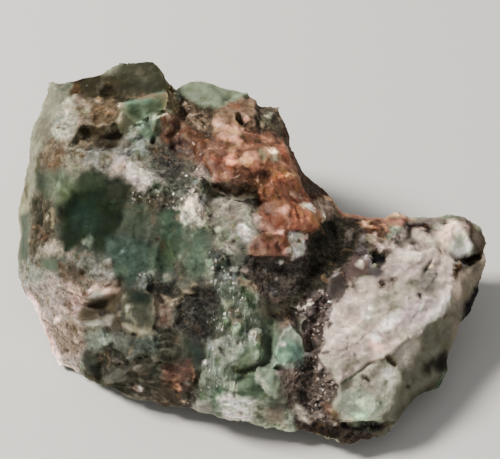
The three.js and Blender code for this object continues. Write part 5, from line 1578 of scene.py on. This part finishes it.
def ranged(value, low, high, toLow=0.0, toHigh=1.0):
    node = nodes.new("ShaderNodeMapRange")
    node.interpolation_type = "SMOOTHSTEP"
    for socket, given in zip(node.inputs, (value, low, high, toLow, toHigh)):
        feed(socket, given)
    return node.outputs[0]


def between(amount, a, b):  # a number between a and b
    return maths("MULTIPLY_ADD", maths("SUBTRACT", b, a), amount, a)


def mixed(amount, a, b):
    node = nodes.new("ShaderNodeMix")
    node.data_type = "RGBA"
    feed(node.inputs["Factor"], amount)
    feed(node.inputs[6], a)
    feed(node.inputs[7], b)
    return node.outputs[2]


def toned(base, amount):  # a colour made darker or lighter by a number around 1
    return vectorMaths("SCALE", base, scale=amount)


def noisy(size, detail, roughness, swirl=0.0, pull=None):
    node = nodes.new("ShaderNodeTexNoise")
    feed(node.inputs["Vector"], vectorMaths("MULTIPLY", place, pull) if pull else place)
    node.inputs["Scale"].default_value = 1 / size
    node.inputs["Detail"].default_value = detail
    node.inputs["Roughness"].default_value = roughness
    node.inputs["Distortion"].default_value = swirl
    return node.outputs["Fac"]


def crystalFaces(size):  # heights of small planes that lean their own way, and tones
    node = nodes.new("ShaderNodeTexVoronoi")
    feed(node.inputs["Vector"], place)
    node.inputs["Scale"].default_value = 1 / size
    offset = vectorMaths("SUBTRACT", place, node.outputs["Position"])
    lean = vectorMaths("SUBTRACT", node.outputs["Color"], (0.5, 0.5, 0.5))
    tone = vectorMaths("DOT_PRODUCT", node.outputs["Color"], (1.0, 0.0, 0.0))
    return vectorMaths("DOT_PRODUCT", offset, lean), tone


coordinates = nodes.new("ShaderNodeTexCoord")
place = vectorMaths("SCALE", coordinates.outputs["Object"], scale=1 / mm)
crust, rust, druse, soot = (attribute(name) for name in ("crust", "rust", "druse", "soot"))
crystal, marble, lined, clear = (attribute(name) for name in ("crystal", "marble", "lined", "clear"))
calm, hollow, deep = (attribute(name) for name in ("calm", "hollow", "deep"))
tint = attribute("tint", "Color")

noise = {name: noisy(*values) for name, values in patterns.items()}
mottle, fine = noise["mottle"], noise["fine"]
sugar, sugarTone = crystalFaces(surface["sugarSize"])
glint, glintTone = crystalFaces(surface["glintSize"])

# overall: mottled, stained here and there, with painted shade in the hollows and paler crests, partly painted
# highlight and partly the pale edges of broken stone; calm stone less so
look = toned(tint, between(calm, ranged(mottle, 0.3, 0.7, 0.74, 1.28), ranged(mottle, 0.3, 0.7, 0.87, 1.13)))
rough = maths("SUBTRACT", 1.0, calm)
look = mixed(product(ranged(noise["stain"], 0.56, 0.7, 0, 0.3), rough), look, tints["stain"])
look = toned(look, between(calm, ranged(fine, 0.3, 0.7, 0.82, 1.2), ranged(fine, 0.3, 0.7, 0.93, 1.07)))
look = toned(look, between(calm, ranged(hollow, -1.0, 1.0, 1.26, 0.7), ranged(hollow, -1.0, 1.0, 1.1, 0.88)))
look = toned(look, ranged(deep, -1.0, 1.0, 1.15, 0.8))
look = toned(look, between(calm, ranged(sugarTone, 0.1, 0.9, 0.84, 1.18), 1.0))

# crust: sugary, with dark gaps
look = mixed(product(ranged(noise["gaps"], 0.42, 0.35), 0.6, crust), look, tints["gap"])

# clear stone: soft wisps within, and a rare glint
look = toned(look, between(clear, 1.0, ranged(noise["wisps"], 0.36, 0.66, 0.82, 1.26)))
look = mixed(product(ranged(noise["rareGlint"], 0.72, 0.78), clear, 0.12), look, tints["glint"])

# marble: faint diagonal bands
look = toned(look, between(marble, 1.0, ranged(noise["bands"], 0.36, 0.64, 0.87, 1.08)))

# crystalline green: fibres of white and deep green
fibre = noise["fibre"]
fibrous = toned(look, ranged(fibre, 0.5, 0.36, 1, 0.6))
fibrous = mixed(ranged(fibre, 0.57, 0.68, 0, 0.6), fibrous, tints["fibre"])
look = mixed(crystal, look, fibrous)

# rust: deep brown, orange and a pale pink
rusted = mixed(ranged(noise["rust"], 0.48, 0.36, 0, 0.45), look, tints["rustBrown"])
rusted = mixed(ranged(noise["rust"], 0.58, 0.7, 0, 0.3), rusted, tints["rustPink"])
look = mixed(rust, look, rusted)

# druse and soot: many small crystals, lighter and darker at random, and on druse a few painted bright as
# glints
look = toned(look, between(druse, 1.0, ranged(glintTone, 0.1, 0.95, 0.62, 1.45)))
look = toned(look, between(soot, 1.0, ranged(sugarTone, 0.1, 0.95, 0.76, 1.26)))
paintedGlints = product(ranged(sugarTone, 0.93, 0.95), druse)
look = mixed(product(paintedGlints, 0.45), look, tints["fleck"])

# fine parallel lines
look = mixed(lined, look, toned(look, ranged(noise["stripes"], 0.4, 0.62, 0.6, 1.9)))
links.new(look, shader.inputs["Base Color"])

sparkle = maths("MAXIMUM", paintedGlints, product(ranged(sugarTone, 0.94, 0.96), crystal))
roughness = ranged(attribute("gloss"), 0.0, 1.0, surface["roughest"], surface["smoothest"])
unevenness = product(maths("SUBTRACT", fine, 0.5), surface["fineRoughness"])
roughness = maths("ADD", roughness, unevenness, clamp=True)
roughness = maths("SUBTRACT", roughness, product(sparkle, surface["sparkleGloss"]))
links.new(maths("MAXIMUM", roughness, surface["leastRough"]), shader.inputs["Roughness"])
reflecting = maths("ADD", attribute("shine"), product(sparkle, surface["sparkleShine"]))
links.new(reflecting, shader.inputs["Specular IOR Level"])
scattering = between(calm, surface["translucency"], surface["calmTranslucency"])
links.new(scattering, shader.inputs["Subsurface Weight"])
shader.inputs["Subsurface Radius"].default_value = surface["scatter"]
shader.inputs["Subsurface Scale"].default_value = mm

relieved = product(fine, between(calm, bumps["fine"], bumps["calmFine"]))
for name, rise, where in (("sugar", sugar, rough), ("glint", glint, maths("MAXIMUM", druse, crystal)),
                          ("stripes", noise["stripes"], lined), ("rust", noise["rust"], rust)):
    relieved = maths("ADD", relieved, product(rise, where, bumps[name]))
bump = nodes.new("ShaderNodeBump")
bump.inputs["Strength"].default_value = bumps["strength"]
bump.inputs["Distance"].default_value = mm
links.new(relieved, bump.inputs["Height"])
links.new(bump.outputs["Normal"], shader.inputs["Normal"])
stone.data.materials.clear()
stone.data.materials.append(material)

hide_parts("stone")
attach(stone, "root")
print("stone finished")
